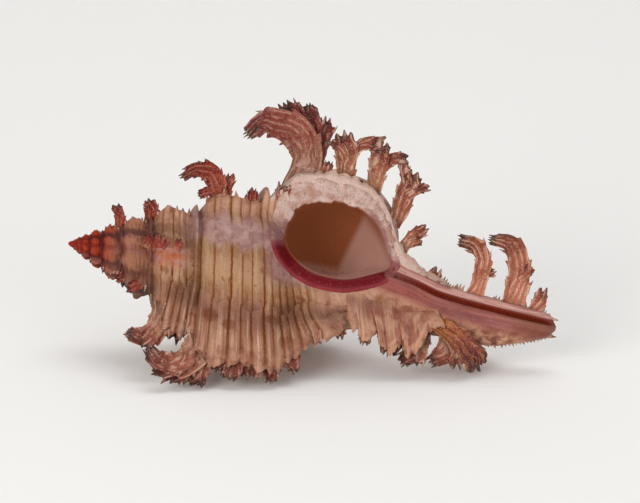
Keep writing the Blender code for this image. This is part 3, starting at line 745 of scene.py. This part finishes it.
def body_grid():
    """The rows and columns of the outside, with its cords, lamellae and slit."""
    steps = [APEX_X]
    while steps[-1] < 99.7:
        steps.append(steps[-1] + np.interp(steps[-1], *zip(*ROW_STEPS)))
    x = np.array(steps[:-1] + [99.9])
    first = LIP_ANGLE - 360 + LIP_STEP
    angles = np.concatenate([np.arange(first, 192, FINE_COLUMNS), np.arange(192, LIP_ANGLE, COARSE_COLUMNS),
                             [LIP_ANGLE]])
    x, angle = np.meshgrid(x, angles, indexing="ij")
    radius, along, place = surface(x, angle)
    middle_y, middle_z, _, _ = canal_at(x)
    turned = np.radians(angle)
    size = np.clip(radius / 18, 0.05, 1.2)
    plain = surface_point(x, angle)
    _, y, z = plain_parts = np.moveaxis(plain, -1, 0)
    glaze = glaze_mask(x, angle, y, z)
    noise = value_noise(1.0, along / 9, place * 16, x / 4)
    cords = BAND_HEIGHT * (band_relief(place) - 0.7)
    cords = cords * (0.45 + 0.75 * smooth(0.5, 1.0, np.abs(angle - 75) / 60))
    nodes = 0.65 + 0.9 * rib_bump(along) + 0.8 * varix_bump(along)
    on_canal = smooth(62.0, 70.0, x)
    cords = cords * nodes * (1 - on_canal)
    saw = (along / 3.4 + 0.9 * noise + place * 0.6) % 1.0
    lamellae = 0.16 * saw**2 * (0.5 + 0.5 * smooth(-0.4, 0.5, noise))
    stripes = ((x * 0.75 + angle * 0.045 + 0.5 * noise) % 1.0) ** 1.6
    lamellae = lamellae * (1 - on_canal) + 0.4 * stripes * on_canal
    ribs = 0.05 * rib_bump(along) * radius * smooth(0.0, 0.3, place) * smooth(1.6, 1.2, place)
    knobs = np.abs(np.cos(math.pi * (along - LIP_ANGLE - 7) / 40)) ** 2.5 * bell(place, 0.48, 0.36)
    knobs = knobs * (0.75 + 0.5 * noise)
    ribs = ribs + 0.17 * radius * (knobs - 0.25) * smooth(27.5, 22.0, x) * smooth(1.5, 5.0, x)
    under = smooth(104, 112, angle) * smooth(150, 140, angle)
    under = under * smooth(20.0, 22.0, x) * smooth(60.0, 56.0, x)
    ribs = ribs - 1.3 * under * varix_bump(along)
    seam = -0.5 * bell(place, 0.0, 0.05) * size
    pits = 0.12 * noise + 0.08 * value_noise(1.0, along / 2.2, place * 30, x)
    relief = ((cords + lamellae + pits) * size + ribs * (1 - on_canal) + seam) * (1 - 0.8 * glaze)
    relief = relief * smooth(0.3, 2.5, x)
    side = slit_side(x, y)
    facing = smooth(-1.0, 0.8, z - middle_z)
    gone = smooth(62.5, 66.0, x) * smooth(99.8, 98.0, x)
    groove = bell(side, 0.0, 0.5) * facing * gone
    brim = (bell(side, 1.15, 0.5) * 0.7 + bell(side, -1.25, 0.6) * 0.35) * facing * gone
    relief = relief + brim * 0.8 - groove * 1.9
    flange = smooth(13.0, 17.0, y) * smooth(37.0, 41.0, x) * smooth(0.5, 2.5, z)
    flank = smooth(1.6, 2.4, side) * smooth(64.0, 67.0, x) * (1 - 0.4 * smooth(78.0, 84.0, x)) * facing
    crumbs = value_noise(1.1, *plain_parts) + 0.6 * value_noise(0.55, *(plain_parts + 9))
    keel = smooth(-4.4, -6.0, side) * smooth(80.0, 86.0, x)
    relief = relief + (0.4 * np.maximum(flange, flank) + 0.25 * keel) * crumbs
    radius = np.maximum(radius + relief, 0.2) * np.sqrt(np.clip((100.1 - x) / 1.6, 0.05, 1))
    points = np.stack([x, middle_y + radius * np.cos(turned), middle_z + radius * np.sin(turned)], -1)
    last, start = points[:, -1:], points[:, :1]
    share = (np.arange(1, 6) / 6)[None, :, None]
    return np.concatenate([points, last + (start - last) * share], axis=1)


def make_body(material, hollow):
    """The whorls and the canal with the opening cut out; returns the uncut points, for the lining."""
    points = body_grid()
    body = new_mesh("shell_body", points.reshape(-1, 3), tube_faces(*points.shape[:2]))
    cut = body.modifiers.new("aperture", "BOOLEAN")
    cut.operation = "DIFFERENCE"
    cut.solver = "EXACT"
    cut.object = hollow
    bpy.context.view_layer.update()
    whole = bpy.data.meshes.new_from_object(body.evaluated_get(bpy.context.evaluated_depsgraph_get()))
    body.modifiers.clear()
    body.data = whole
    x, y, z = coordinates(body).T
    middle_y, middle_z, _, _ = canal_at(x)
    angle = np.degrees(np.arctan2(z - middle_z, y - middle_y)) % 360
    radius, along, place = surface(x, angle)
    real = np.hypot(z - middle_z, y - middle_y)
    side = slit_side(x, y)
    flange = smooth(14.0, 19.0, y) * smooth(36.0, 41.0, x) * smooth(1.0, 3.0, z)
    flank = 0.8 * smooth(2.0, 3.2, side) * smooth(64.0, 66.0, x)
    flank = flank * smooth(82.0, 74.0, x) * smooth(-1.0, 0.8, z - middle_z)
    set_marks(
        body,
        band=np.where(place > -0.5, place, 0),
        coil=along / 100,
        pit=np.clip((real - radius) / np.maximum(radius / 18, 0.2), -1.5, 1.5),
        glaze=glaze_mask(x, angle, y, z),
        slit=side + 9 * smooth(0.5, -1.5, z - middle_z),
        tip=0.4 * smooth(0.35, 1.0, varix_bump(along)) * smooth(0.1, 0.4, place) * smooth(1.5, 1.2, place),
        shade=bell(angle, 116, 9) * smooth(22, 28, x) * smooth(58, 48, x),
        lip=np.maximum(flange, flank),
        size=np.clip(radius / 18, 0, 1.3),
    )
    dress(body, material)
    return points


def outline_through(corners, count):
    """Points evenly along a smooth closed curve through the corners."""
    closed = np.array(corners + corners[:3])
    found = []
    for step in np.arange(count) / count * len(corners):
        i = int(step)
        t = step - i
        a, b, c, d = closed[i : i + 4]
        bend = (2 * a - 5 * b + 4 * c - d) * t**2 + (3 * b - a - 3 * c + d) * t**3
        found.append(b + 0.5 * ((c - a) * t + bend))
    return np.array(found)


def hollow_rings(outline, count, grown=1.0):
    """Rings of the hollow behind the aperture, winding back up the coil."""
    middle = outline.mean(axis=0)
    rings = []
    for step in np.linspace(0, 1, count):
        back = math.radians(HOLLOW_TURN * step)
        narrowed = middle + (outline - middle) * (1 - (1 - HOLLOW_NARROWING) * step**0.5) * grown
        turns = -HOLLOW_TURN * step / 360
        along = narrowed[:, 0] * AXIAL_GROWTH**turns
        out = narrowed[:, 1] * RADIAL_GROWTH**turns
        rings.append(np.stack([along, out * math.cos(back), -out * math.sin(back)], -1))
    return rings


def face_outwards(mesh):
    fixer = bmesh.new()
    fixer.from_mesh(mesh)
    bmesh.ops.recalc_face_normals(fixer, faces=fixer.faces)
    fixer.to_mesh(mesh)
    fixer.free()


def make_hollow():
    """The opening and the hollow behind it, as one closed shape to cut with."""
    outline = outline_through(APERTURE, HOLLOW_POINTS)
    middle = outline.mean(axis=0)
    mouth = middle + (outline - middle) * APERTURE_FLARE
    rings = [np.column_stack([mouth, np.full(HOLLOW_POINTS, APERTURE_FRONT_Z)])]
    rings.append(np.column_stack([outline, np.full(HOLLOW_POINTS, APERTURE_RIM_Z)]))
    rings += hollow_rings(outline, 16)
    hollow = new_mesh("hollow", np.concatenate(rings), tube_faces(len(rings), HOLLOW_POINTS))
    face_outwards(hollow.data)
    return hollow


def height_below(tree, place, otherwise):
    """The Z at which a line down on place meets the surface."""
    hit = tree.ray_cast(Vector((*place, 60.0)), Vector((0, 0, -1)))
    return hit[0].z if hit[0] else otherwise


def make_lining(material, body_points):
    """The polished lip round the aperture and the smooth lining behind it."""
    count = LINING_POINTS
    outline = outline_through(APERTURE, count)
    corner = (np.arange(count) / count * len(APERTURE) + 1) % len(APERTURE)
    ahead = np.roll(outline, -1, axis=0) - np.roll(outline, 1, axis=0)
    outward = unit(np.stack([-ahead[:, 1], ahead[:, 0]], -1))
    middle = outline.mean(axis=0)
    outward = outward * np.sign(np.sum(outward * (outline - middle), axis=1, keepdims=True))
    run = np.cumsum(np.linalg.norm(np.roll(outline, -1, axis=0) - outline, axis=1))
    inner = smooth(COLUMELLA[0], COLUMELLA[1], corner) * smooth(COLUMELLA[3], COLUMELLA[2], corner)
    outer = 1 - inner
    wide_share = np.interp(corner, np.arange(12), LIP_REACH)
    faces = grid_faces(*body_points.shape[:2], True).tolist()
    tree = BVHTree.FromPolygons(body_points.reshape(-1, 3).tolist(), faces)
    wander = value_noise(3.0, run, 0, 11)
    waves = np.cos(2 * math.pi * (run / 2.3 + 0.9 * wander))
    nicks = value_noise(0.8, run, 0, 4)
    inside_z = np.array([height_below(tree, place, 4.0) for place in outline + outward * 0.1])
    rings = []
    for (wide, high), (thin, tall) in zip(LIP_SECTION, COLUMELLA_SECTION):
        off = np.where(wide > 0, wide * wide_share, wide) * (1 - inner) + thin * inner
        rise = high * (1 - inner) + tall * inner
        off = off + (0.05 * waves + 0.45 * wander + 0.3 * nicks) * outer * (wide < 2)
        off = np.where(wide < 0.3, np.minimum(off, wide + 0.05 * outer), off)
        crumple = value_noise(1.3, *(outline * 0.9).T, wide * 0.6)
        crumple = np.maximum(crumple, -0.25) + 0.5 * value_noise(0.55, *outline.T, wide)
        rough = smooth(5.6, 3.6, wide) * smooth(0.0, 1.2, wide)
        rise = rise + (0.06 * waves + 0.5 * crumple) * outer * rough
        under = outline + outward * np.maximum(off, 0.05)[:, None]
        before = rings[-1][:, 2] if rings else np.full(count, 4.0)
        z = np.array([height_below(tree, *pair) for pair in zip(under, before)])
        z = np.maximum(z, inside_z - 0.3 * np.maximum(off, 0))
        z = np.convolve(np.concatenate([z[-4:], z, z[:4]]), np.ones(9) / 9, mode="valid")
        rings.append(np.column_stack([outline + outward * off[:, None], z + rise]))
    deep = hollow_rings(outline, 20, 0.95)
    start = rings[-1]
    rings += [start + (deep[0] - start) * share for share in (0.33, 0.67)] + deep
    faces = grid_faces(len(rings), count, True).tolist()
    faces.append([(len(rings) - 1) * count + k for k in range(count)])
    lining = new_mesh("aperture_lining", np.concatenate(rings), faces)
    far = [wide for wide, _ in LIP_SECTION]
    far += [-1.0] * (len(rings) - len(far))
    set_marks(lining, inner=np.tile(inner, len(rings)), far=np.repeat(far, count),
              pit=np.tile(waves * outer, len(rings)))
    face_outwards(lining.data)
    dress(lining, material)


def finish_growth(name, growth, material):
    piece = new_mesh(name, np.concatenate(growth.points), growth.faces)
    set_marks(piece, **{mark: np.concatenate(values) for mark, values in growth.marks.items()})
    dress(piece, material)


def linear(colour):
    """A colour given as 0-255 screen values, in linear light."""
    share = np.array(colour, float) / 255
    return (*np.where(share <= 0.04045, share / 12.92, ((share + 0.055) / 1.055) ** 2.4), 1.0)


class Value:
    """A node's output, which + - * and / join to others by Math nodes."""

    def __init__(self, tree, socket):
        self.tree = tree
        self.socket = socket

    def __add__(self, other):
        return self.tree.math("ADD", self, other)

    def __sub__(self, other):
        return self.tree.math("SUBTRACT", self, other)

    def __rsub__(self, other):
        return self.tree.math("SUBTRACT", other, self)

    def __mul__(self, other):
        return self.tree.math("MULTIPLY", self, other)

    def __truediv__(self, other):
        return self.tree.math("DIVIDE", self, other)


class Tree:
    """Short names for the nodes of one material."""

    def __init__(self, name):
        self.material = bpy.data.materials.new(name)
        self.material.use_nodes = True
        self.nodes = self.material.node_tree.nodes
        self.links = self.material.node_tree.links
        self.shader = self.nodes["Principled BSDF"]

    def put(self, socket, value):
        if isinstance(value, Value):
            self.links.new(value.socket, socket)
        elif isinstance(value, tuple):
            socket.default_value = linear(value)
        else:
            socket.default_value = value

    def finish(self, **inputs):
        """Joins values to the shader's inputs, whose names have _ for a space, and gives the material."""
        for name, value in inputs.items():
            self.put(self.shader.inputs[name.replace("_", " ")], value)
        return self.material

    def make(self, kind, inputs, output=0, **settings):
        """A node of a kind, with its settings made and its inputs joined or set; gives one output."""
        made = self.nodes.new("ShaderNode" + kind)
        for name, value in settings.items():
            setattr(made, name, value)
        for name, value in inputs.items():
            self.put(made.inputs[name], value)
        return Value(self, made.outputs[output])

    def mark(self, name, output="Fac"):
        return self.make("Attribute", {}, output, attribute_name=name)

    def math(self, operation, a, b=0.0, clamp=False):
        return self.make("Math", {0: a, 1: b}, operation=operation, use_clamp=clamp)

    def larger(self, a, b):
        return self.math("MAXIMUM", a, b)

    def mix(self, share, a, b, blend="MIX"):
        return self.make("Mix", {0: share, 6: a, 7: b}, 2,
                         data_type="RGBA", blend_type=blend, clamp_factor=True)

    def coats(self, colour, *coats):
        """Lays coats over a colour in turn, each a share and a colour."""
        for share, coat in coats:
            colour = self.mix(share, colour, coat)
        return colour

    def noise(self, vector, scale, detail=4.0, rough=0.55, twist=0.0):
        inputs = {"Vector": vector, "Scale": scale, "Detail": detail, "Roughness": rough}
        return self.make("TexNoise", {**inputs, "Distortion": twist}, "Fac")

    def vector(self, x, y, z):
        return self.make("CombineXYZ", {0: x, 1: y, 2: z})

    def parts(self, vector):
        split = self.nodes.new("ShaderNodeSeparateXYZ")
        self.put(split.inputs[0], vector)
        return [Value(self, socket) for socket in split.outputs]

    def step(self, value, low, high):
        """0 up to low and 1 from high on, with a soft step between; low may be the larger."""
        inputs = {"Value": value, "From Min": min(low, high), "From Max": max(low, high),
                  "To Min": float(low > high), "To Max": float(low < high)}
        return self.make("MapRange", inputs, "Result", interpolation_type="SMOOTHSTEP")

    def ramp(self, value, stops):
        made = self.nodes.new("ShaderNodeValToRGB")
        points = made.color_ramp.elements
        while len(points) < len(stops):
            points.new(0.5)
        for point, (place, colour) in zip(points, stops):
            point.position = place
            point.color = linear(colour)
        self.put(made.inputs["Fac"], value)
        return Value(self, made.outputs["Color"])

    def bump(self, height, strength, distance):
        return self.make("Bump", {"Strength": strength, "Distance": distance, "Height": height}, "Normal")


def lines_over(tree, across, spiral):
    """The brown lines of the whorl, and the softer brown beside them."""
    lines = halo = 0.0
    for place, strength in LINES:
        near = tree.math("ABSOLUTE", across - place)
        width = 0.006 + 0.011 * strength
        lines = tree.larger(lines, tree.step(near, width * 1.35, width * 0.45) * (0.4 + 0.6 * strength))
        halo = tree.larger(halo, tree.step(near, 0.055, 0.01) * strength)
    return lines * tree.step(tree.noise(spiral, 2.2, 3.0, 0.6), 0.28, 0.42), halo


def spots_over(tree, x, y, fine):
    """The darker spots of SPOTS, with ragged edges."""
    spots = 0.0
    for spot_x, spot_y, spot in SPOTS:
        far_x = (x - spot_x) / spot
        far_y = (y - spot_y) / (spot * 0.8)
        away = far_x * far_x + far_y * far_y + (fine - 0.5) * 1.6
        spots = tree.larger(spots, tree.step(away, 1.2, 0.3))
    return spots


def whorl_colour(tree, x, y, z, spiral, woven, patch, fine):
    """The cream, rose and brown of the whorls, without the spire, the canal and the glaze."""
    mark, step, noise = tree.mark, tree.step, tree.noise
    band, pit = mark("band"), mark("pit")
    sunny = step(y, -7.0, -2.0) * step(y, 9.0, 4.0) * step(z, 2.0, 6.0)
    sunny = sunny * step(x, 54.0, 46.0) * step(x, 14.0, 20.0)
    low = tree.larger(step(y, -6.0, -10.0), step(y, -0.5, -2.5) * step(x, 56.0, 60.0)) * step(x, 79.0, 74.0)
    folds = woven(3.0, 34.0, 2.0, 4.0, 0.6)
    tint = woven(1.8, 10.0, 7.0)
    wander = (noise(spiral, 1.6, 3.0) - 0.5) * 0.026
    lines, halo = lines_over(tree, band + wander, spiral)
    shown = step(x, 66.0, 52.0) * step(x, 9.0, 18.0)
    blotch = step(woven(9.0, 5.0, 4.0, 4.0, 0.6, 0.4), 0.57, 0.68)
    broad = noise(mark("grown", "Vector"), 0.13, 3.0)
    colour = tree.coats(
        tree.mix(sunny + step(broad, 0.5, 0.62) * 0.5, ROSE, CREAM),
        (step(patch, 0.5, 0.66) * 0.5, MAUVE),
        (step(woven(60.0, 3.0, 0.0, 4.0), 0.5, 0.66) * 0.35, (150, 104, 78)),
        (step(woven(6.0, 22.0, 0.0), 0.5, 0.64) * 0.4, (190, 148, 110)),
        (step(folds, 0.5, 0.62) * low * 0.8, (218, 182, 158)),
        (step(folds, 0.48, 0.36) * low * 0.5, (146, 92, 74)),
        (step(fine, 0.55, 0.7) * 0.4, (126, 80, 58)),
        (step(tint, 0.5, 0.6) * 0.45, (192, 156, 122)),
        (step(tint, 0.47, 0.37) * 0.5, (148, 98, 70)),
        (halo * shown * 0.6, OCHRE),
        # Painted shade where the surface sinks below its mean and painted highlight where it rises above
        # it.
        (step(pit, 0.2, -0.5) * 0.45, (112, 66, 46)),
        (step(pit, 0.3, 0.9) * 0.45, (188, 150, 118)),
        (blotch * shown * 0.6, BLOTCH),
        (lines * shown * 0.9, BROWN_LINE),
        (spots_over(tree, x, y, fine) * step(z, 2.0, 5.0) * 0.6, BLOTCH),
    )
    return tree.mix(mark("shade") * 0.6, colour, (152, 122, 122), "MULTIPLY"), low


def spire_coats(tree, x, y, patch, fine, pit):
    """The spire's colours: rosy on its front, painted shade below and red at the apex, with painted
    highlight on its raised parts and painted shade in its hollows.
    """
    step, mix = tree.step, tree.mix
    spire = step(x, 21.0, 14.0)
    rosy = step(x, 27.0, 22.0) * (step(y, -2.5, 0.5) * step(y, 6.0, 2.5))
    # Painted shade: the lower side of the spire darkened to grey-brown.
    painted_shade_below = step(y, -4.0, -6.0) * (step(x, 22.0, 17.0) * step(x, 9.0, 12.0))
    apex = tree.coats(
        mix(step(fine, 0.4, 0.6), APEX_RED, (98, 16, 4)),
        # Painted shade in the apex's hollows and painted highlight on its raised parts.
        (step(pit, -0.05, -0.5) * 0.7, (58, 8, 4)),
        (step(pit, 0.1, 0.6) * 0.5, (166, 60, 26)),
    )
    return (
        (rosy * 0.75, mix(step(patch, 0.42, 0.6), (176, 128, 124), (178, 96, 62))),
        (spire * 0.6, mix(step(patch, 0.4, 0.6), SPIRE_ROSE, (84, 42, 32))),
        # Painted highlight on the spire's raised parts and painted shade in its hollows.
        (spire * step(pit, 0.0, 0.7) * 0.7, (158, 102, 76)),
        (spire * step(pit, 0.0, -0.7) * 0.65, (80, 42, 38)),
        (painted_shade_below * 0.6, (72, 56, 54)),
        (step(x, 12.0, 6.0), apex),
    )


def canal_coats(tree, x, patch, fine, pit, low):
    """The canal's colours: its rough sides, its glazed floor, the pale edge of the slit and the slit."""
    mark, step, noise, mix = tree.mark, tree.step, tree.noise, tree.mix
    slit = mark("slit")
    fluted = step(x, 59.0, 64.0) * low * step(pit, 0.42, 0.12)
    canal = tree.math("SUBTRACT", step(x, 60.0, 68.0), fluted * 0.6, True)
    canal_tone = tree.coats(
        mix(step(patch, 0.4, 0.6), (176, 122, 98), (128, 70, 52)),
        # Painted highlight on the canal's raised parts and painted shade in its hollows.
        (step(pit, 0.0, 0.5) * 0.5, (206, 162, 132)),
        (step(pit, 0.0, -0.4) * 0.5, (96, 46, 34)),
    )
    flange = tree.coats(
        mix(step(patch, 0.45, 0.65), LIP_WHITE, (176, 134, 108)),
        # Painted shade in the hollows of the crumpled flange.
        (step(pit, 0.0, -0.5) * 0.6, (140, 96, 80)),
    )
    length = tree.vector(x * 0.07, slit * 1.5, 0.0)
    floor = tree.coats(
        mix(step(noise(length, 1.0, 3.0), 0.38, 0.6), CANAL_PINK, CANAL_DEEP),
        (step(x, 86.0, 97.0) * 0.75, (106, 44, 20)),
    )
    glazed = tree.coats(
        mix(step(patch, 0.35, 0.65), CALLUS, (166, 130, 124)),
        (step(fine, 0.5, 0.66) * 0.4, (146, 98, 86)),
        (step(x, 58.0, 64.0), floor),
    )
    pale = step(slit, 0.35, 0.7) * step(slit, 2.4, 1.4) * step(x, 62.0, 65.0)
    streaked = mix(step(noise(length, 2.2, 4.0, 0.65), 0.44, 0.6), CANAL_PALE, (164, 108, 100))
    return (
        (fluted * 0.7, (126, 54, 50)),
        (canal * 0.8, canal_tone),
        (mark("lip") * 0.85, flange),
        (mark("glaze") * 0.85, glazed),
        (pale * 0.8, streaked),
        (step(tree.math("ABSOLUTE", slit), 0.62, 0.25) * step(x, 63.0, 66.0), SLIT_RED),
    )


def body_material():
    tree = Tree("shell_outside")
    grown = tree.mark("grown", "Vector")
    band, coil, pit, glaze = (tree.mark(name) for name in ("band", "coil", "pit", "glaze"))
    x, y, z = tree.parts(grown)

    def woven(along, across, seed, detail=3.0, rough=0.55, twist=0.0):
        """Noise stretched along or across the coil."""
        return tree.noise(tree.vector(coil * along, band * across, seed), 1.0, detail, rough, twist)

    spiral = tree.vector(coil * 14.0, band * 9.0, 0.0)
    patch = tree.noise(grown, 0.42, 5.0, 0.6, 0.6)
    fine = tree.noise(grown, 2.4, 6.0, 0.65)
    whorls, low = whorl_colour(tree, x, y, z, spiral, woven, patch, fine)
    worn = tree.mix(tree.step(patch, 0.4, 0.6), (192, 142, 116), (150, 92, 74))
    colour = tree.coats(whorls, *spire_coats(tree, x, y, patch, fine, pit), (tree.mark("tip") * 0.7, worn),
                        *canal_coats(tree, x, patch, fine, pit, low))
    relief = tree.math("SINE", band * 190.0) * 0.06 + woven(160.0, 6.0, 0.0) + fine * 0.8
    relief = relief * (1.0 - glaze * 0.8) * tree.mark("size")
    return tree.finish(
        Base_Color=colour,
        Roughness=0.5 - glaze * 0.3 + fine * 0.16,
        Specular_IOR_Level=glaze * 0.2 + 0.22,
        Normal=tree.bump(relief, 0.85, 0.0004),
    )


def frond_material(name):
    tree = Tree(name)
    step = tree.step
    *along, valley, crest = LEAVES[name]
    grown = tree.mark("grown", "Vector")
    tip, ridge = tree.mark("tip"), tree.mark("pit")
    patch = tree.noise(grown, 0.5, 4.0, 0.6, 0.5)
    fine = tree.noise(grown, 3.0, 6.0, 0.65)
    colour = tree.coats(
        tree.ramp(tip + (patch - 0.5) * 0.7, list(zip((0.0, 0.3, 0.6, 0.85, 1.0), along))),
        # Darker in the channels between ridges, partly the frond's own brown and partly painted shade;
        # paler on the ridge tops as a painted highlight.
        (step(ridge, -0.35, -0.9) * step(tip, 0.02, 0.25) * 0.8, valley),
        (step(ridge, -0.3, -0.05) * step(patch, 0.62, 0.4) * 0.6, crest),
        (step(tip, 0.93, 1.0) * 0.55, along[-1]),
        (step(fine, 0.52, 0.68) * 0.35, (122, 70, 54)),
        (step(fine, 0.5, 0.34) * 0.25, (226, 200, 180)),
    )
    return tree.finish(
        Base_Color=colour,
        Roughness=fine * 0.2 + 0.44,
        Specular_IOR_Level=0.25,
        Normal=tree.bump(fine + tree.noise(grown, 0.9, 3.0), 0.8, 0.0004),
    )


def lining_material():
    tree = Tree("lining")
    step, noise, mix = tree.step, tree.noise, tree.mix
    grown = tree.mark("grown", "Vector")
    inner, far = tree.mark("inner"), tree.mark("far")
    x, y, _ = tree.parts(grown)
    patch = noise(grown, 0.4, 4.0)
    fine = noise(grown, 2.2, 5.0)
    # Painted light and shade on the hollow's wall: lit beyond a slanting line and along its lower edge, in
    # painted shade elsewhere.
    lit = step(x - y * 0.28, 52.4, 54.2) * step(y + x, 76.0, 72.0)
    speck = step(noise(grown, 1.6, 2.0), 0.64, 0.7) * step(y, 7.0, 4.5)
    inside = tree.coats(
        mix(tree.larger(lit, step(y, 5.6, 3.6) * 0.7), INSIDE_PAINTED_SHADE, INSIDE_LIT),
        (speck * 0.8, (66, 32, 16)),
    )
    white = tree.coats(
        mix(step(patch, 0.4, 0.62), LIP_WHITE, (178, 140, 128)),
        # Painted shade in the troughs of the lip's waves.
        (step(tree.mark("pit"), 0.1, -0.8) * 0.22, (170, 122, 104)),
        (step(fine, 0.5, 0.62) * 0.4, (158, 116, 98)),
        (step(noise(grown, 0.8, 4.0), 0.56, 0.66) * 0.4, (170, 122, 84)),
        (step(y, 13.2, 11.2) * step(x, 45.5, 43.5) * 0.85, (150, 104, 104)),
        (step(x, 56.0, 60.0) * step(far, 1.5, 0.4) * 0.75, (124, 76, 72)),
        (step(x, 61.5, 63.4) * step(y, 9.6, 7.6) * 0.85, (134, 62, 64)),
    )
    red = tree.coats(
        mix(step(far, 2.0, 3.6), CRIMSON, CRIMSON_EDGE),
        (step(patch, 0.4, 0.62) * 0.4, (92, 12, 28)),
    )
    red = mix(tree.larger(step(y, 9.6, 6.6), step(x, 50.0, 52.0)), (150, 104, 104), red)
    colour = tree.coats(
        mix(step(inner, 0.05, 0.35), white, red),
        (step(far, 0.1, -0.3), inside),
        (step(fine, 0.55, 0.7) * 0.25, (140, 92, 76)),
    )
    rugged = step(far, 0.2, 1.0) * (1.0 - inner)
    relief = noise(grown, 0.8, 3.0) + rugged * noise(grown, 2.4, 5.0)
    return tree.finish(
        Base_Color=colour,
        Roughness=fine * 0.16 + 0.3,
        Specular_IOR_Level=0.16,
        # Painted light: the hollow's wall glows with its own painted colours, so it looks evenly lit.
        Emission_Color=inside,
        Emission_Strength=step(far, 0.0, -0.3) * 0.4,
        Normal=tree.bump(relief, rugged * 0.6 + 0.3, 0.0005),
    )


def make_skirts(material):
    growth = Growth()
    skirt(growth, LEFT_FRILL, 104.0, 40.0, 4.5, lambda place, _: band_relief(place), 1.2, 0.68,
          ((21, 26, 32, 40, 48, 56), (-1.6, -1.2, -0.5, 0.5, 1.3, 1.8)))
    skirt(growth, CANAL_FRILL, 84.0, -6.0, 2.4, canal_flutes, -1.6, 0.1, ((57, 62, 82), (1.5, 3.5, 2.0)))
    finish_growth("varix_skirts", growth, material)


def make_dorsal_fronds(material, random):
    """The fronds of the varix on the side that faces away."""
    growth = Growth()
    out, growing = directions(DORSAL_ANGLE)
    for x, length, half, lean in DORSAL_FRONDS:
        foot = surface_point(x, DORSAL_ANGLE)
        stations = []
        for share in (-ROOT_DEPTH / length, 0.45, 0.8, 1.0):
            bent = max(share, 0) ** 2
            point = foot + out * length * share + growing * length * DORSAL_CURL * bent
            stations.append((point[0] - lean * bent, point[1], point[2], half * (1 - 0.72 * bent)))
        frond(growth, stations, growing, random)
    finish_growth("dorsal_fronds", growth, material)


def make_pieces():
    outside = body_material()
    leaves = {name: frond_material(name) for name in LEAVES}
    polish = lining_material()
    hollow = make_hollow()
    body_points = make_body(outside, hollow)
    bpy.data.objects.remove(hollow)
    make_lining(polish, body_points)
    make_skirts(outside)
    random = np.random.default_rng(SEED)
    for name, fronds, opens_to, leaf in FROND_GROUPS:
        growth = Growth()
        for stations in fronds:
            frond(growth, stations, np.array(opens_to), random, 0.7 if name == "canal_fronds" else 0.0,
                  1.8 if stations in SPIRE_FRONDS else 4.5)
        if name == "left_fronds":
            add_varix_spines(growth, random)
        finish_growth(name, growth, leaves[leaf])
    growth = Growth()
    add_lip_frill(growth, random)
    add_canal_edge(growth, random)
    finish_growth("lip_frill", growth, leaves["lip_frill"])
    make_dorsal_fronds(leaves["left_frond"], random)


def make_floor():
    rows = 24
    turned = np.linspace(0, math.pi / 2, rows - 2)
    bend = [(0.75 + 0.6 * math.sin(a), 0.6 - 0.6 * math.cos(a)) for a in turned]
    run = [(-1.2, 0.0)] + bend + [(1.35, 2.4)]
    points = [(side * 2.4, y, z) for y, z in run for side in (-1, 1)]
    floor = new_mesh("floor", points, grid_faces(len(run), 2, False).tolist())
    floor.data.shade_smooth()
    floor.data.materials.append(Tree("floor").finish(Base_Color=(247, 246, 244), Roughness=0.85))


def add_light(name, place, size, power, colour):
    lamp = bpy.data.lights.new(name, "AREA")
    lamp.shape = "RECTANGLE"
    lamp.size, lamp.size_y = size
    lamp.energy = power
    lamp.color = colour
    made = bpy.data.objects.new(name, lamp)
    made.location = place
    aim = Vector((0, 0, 0.025)) - Vector(place)
    made.rotation_euler = aim.to_track_quat("-Z", "Y").to_euler()
    bpy.context.scene.collection.objects.link(made)


def make_camera():
    """Looks along the shell's own -Z, turned as in the photograph."""
    scale = SHELL_LENGTH / math.dist(PHOTO_APEX, PHOTO_CANAL_END)
    tilt = math.atan2(PHOTO_CANAL_END[1] - PHOTO_APEX[1], PHOTO_CANAL_END[0] - PHOTO_APEX[0])
    across = PHOTO_SIZE[0] / 2 - PHOTO_APEX[0]
    down = PHOTO_SIZE[1] / 2 - PHOTO_APEX[1]
    aim_x = (across * math.cos(tilt) + down * math.sin(tilt)) * scale
    aim_y = (across * math.sin(tilt) - down * math.cos(tilt)) * scale
    right = np.array((math.cos(tilt), math.sin(tilt), 0.0))
    up = np.array((-math.sin(tilt), math.cos(tilt), 0.0))
    back = np.array((0.0, 0.0, 1.0))
    place = to_world(np.array((aim_x, aim_y, 3.0)) + back * CAMERA_DISTANCE)
    axes = np.stack([TURN @ right, TURN @ up, TURN @ back], axis=1)
    lens = bpy.data.cameras.new("camera")
    lens.sensor_width = SENSOR
    lens.lens = SENSOR * CAMERA_DISTANCE / (PHOTO_SIZE[0] * scale)
    lens.clip_end = 20.0
    made = bpy.data.objects.new("camera", lens)
    made.matrix_world = Matrix.Translation(Vector(place)) @ Matrix(axes.tolist()).to_4x4()
    bpy.context.scene.collection.objects.link(made)
    bpy.context.scene.camera = made


make_pieces()
make_floor()
add_light("key", (-0.6, -1.1, 0.42), (0.7, 0.7), 11.0, (1.0, 0.985, 0.96))
add_light("fill", (0.8, -1.05, 0.15), (0.9, 0.9), 5.5, (0.98, 0.99, 1.0))
add_light("top", (0.1, 0.3, 1.2), (1.0, 0.8), 4.2, (1.0, 1.0, 1.0))
world = bpy.data.worlds.new("studio")
world.use_nodes = True
world.node_tree.nodes["Background"].inputs["Color"].default_value = (1.0, 1.0, 1.0, 1.0)
world.node_tree.nodes["Background"].inputs["Strength"].default_value = 0.47
bpy.context.scene.world = world
bpy.context.scene.view_settings.view_transform = "Standard"
make_camera()
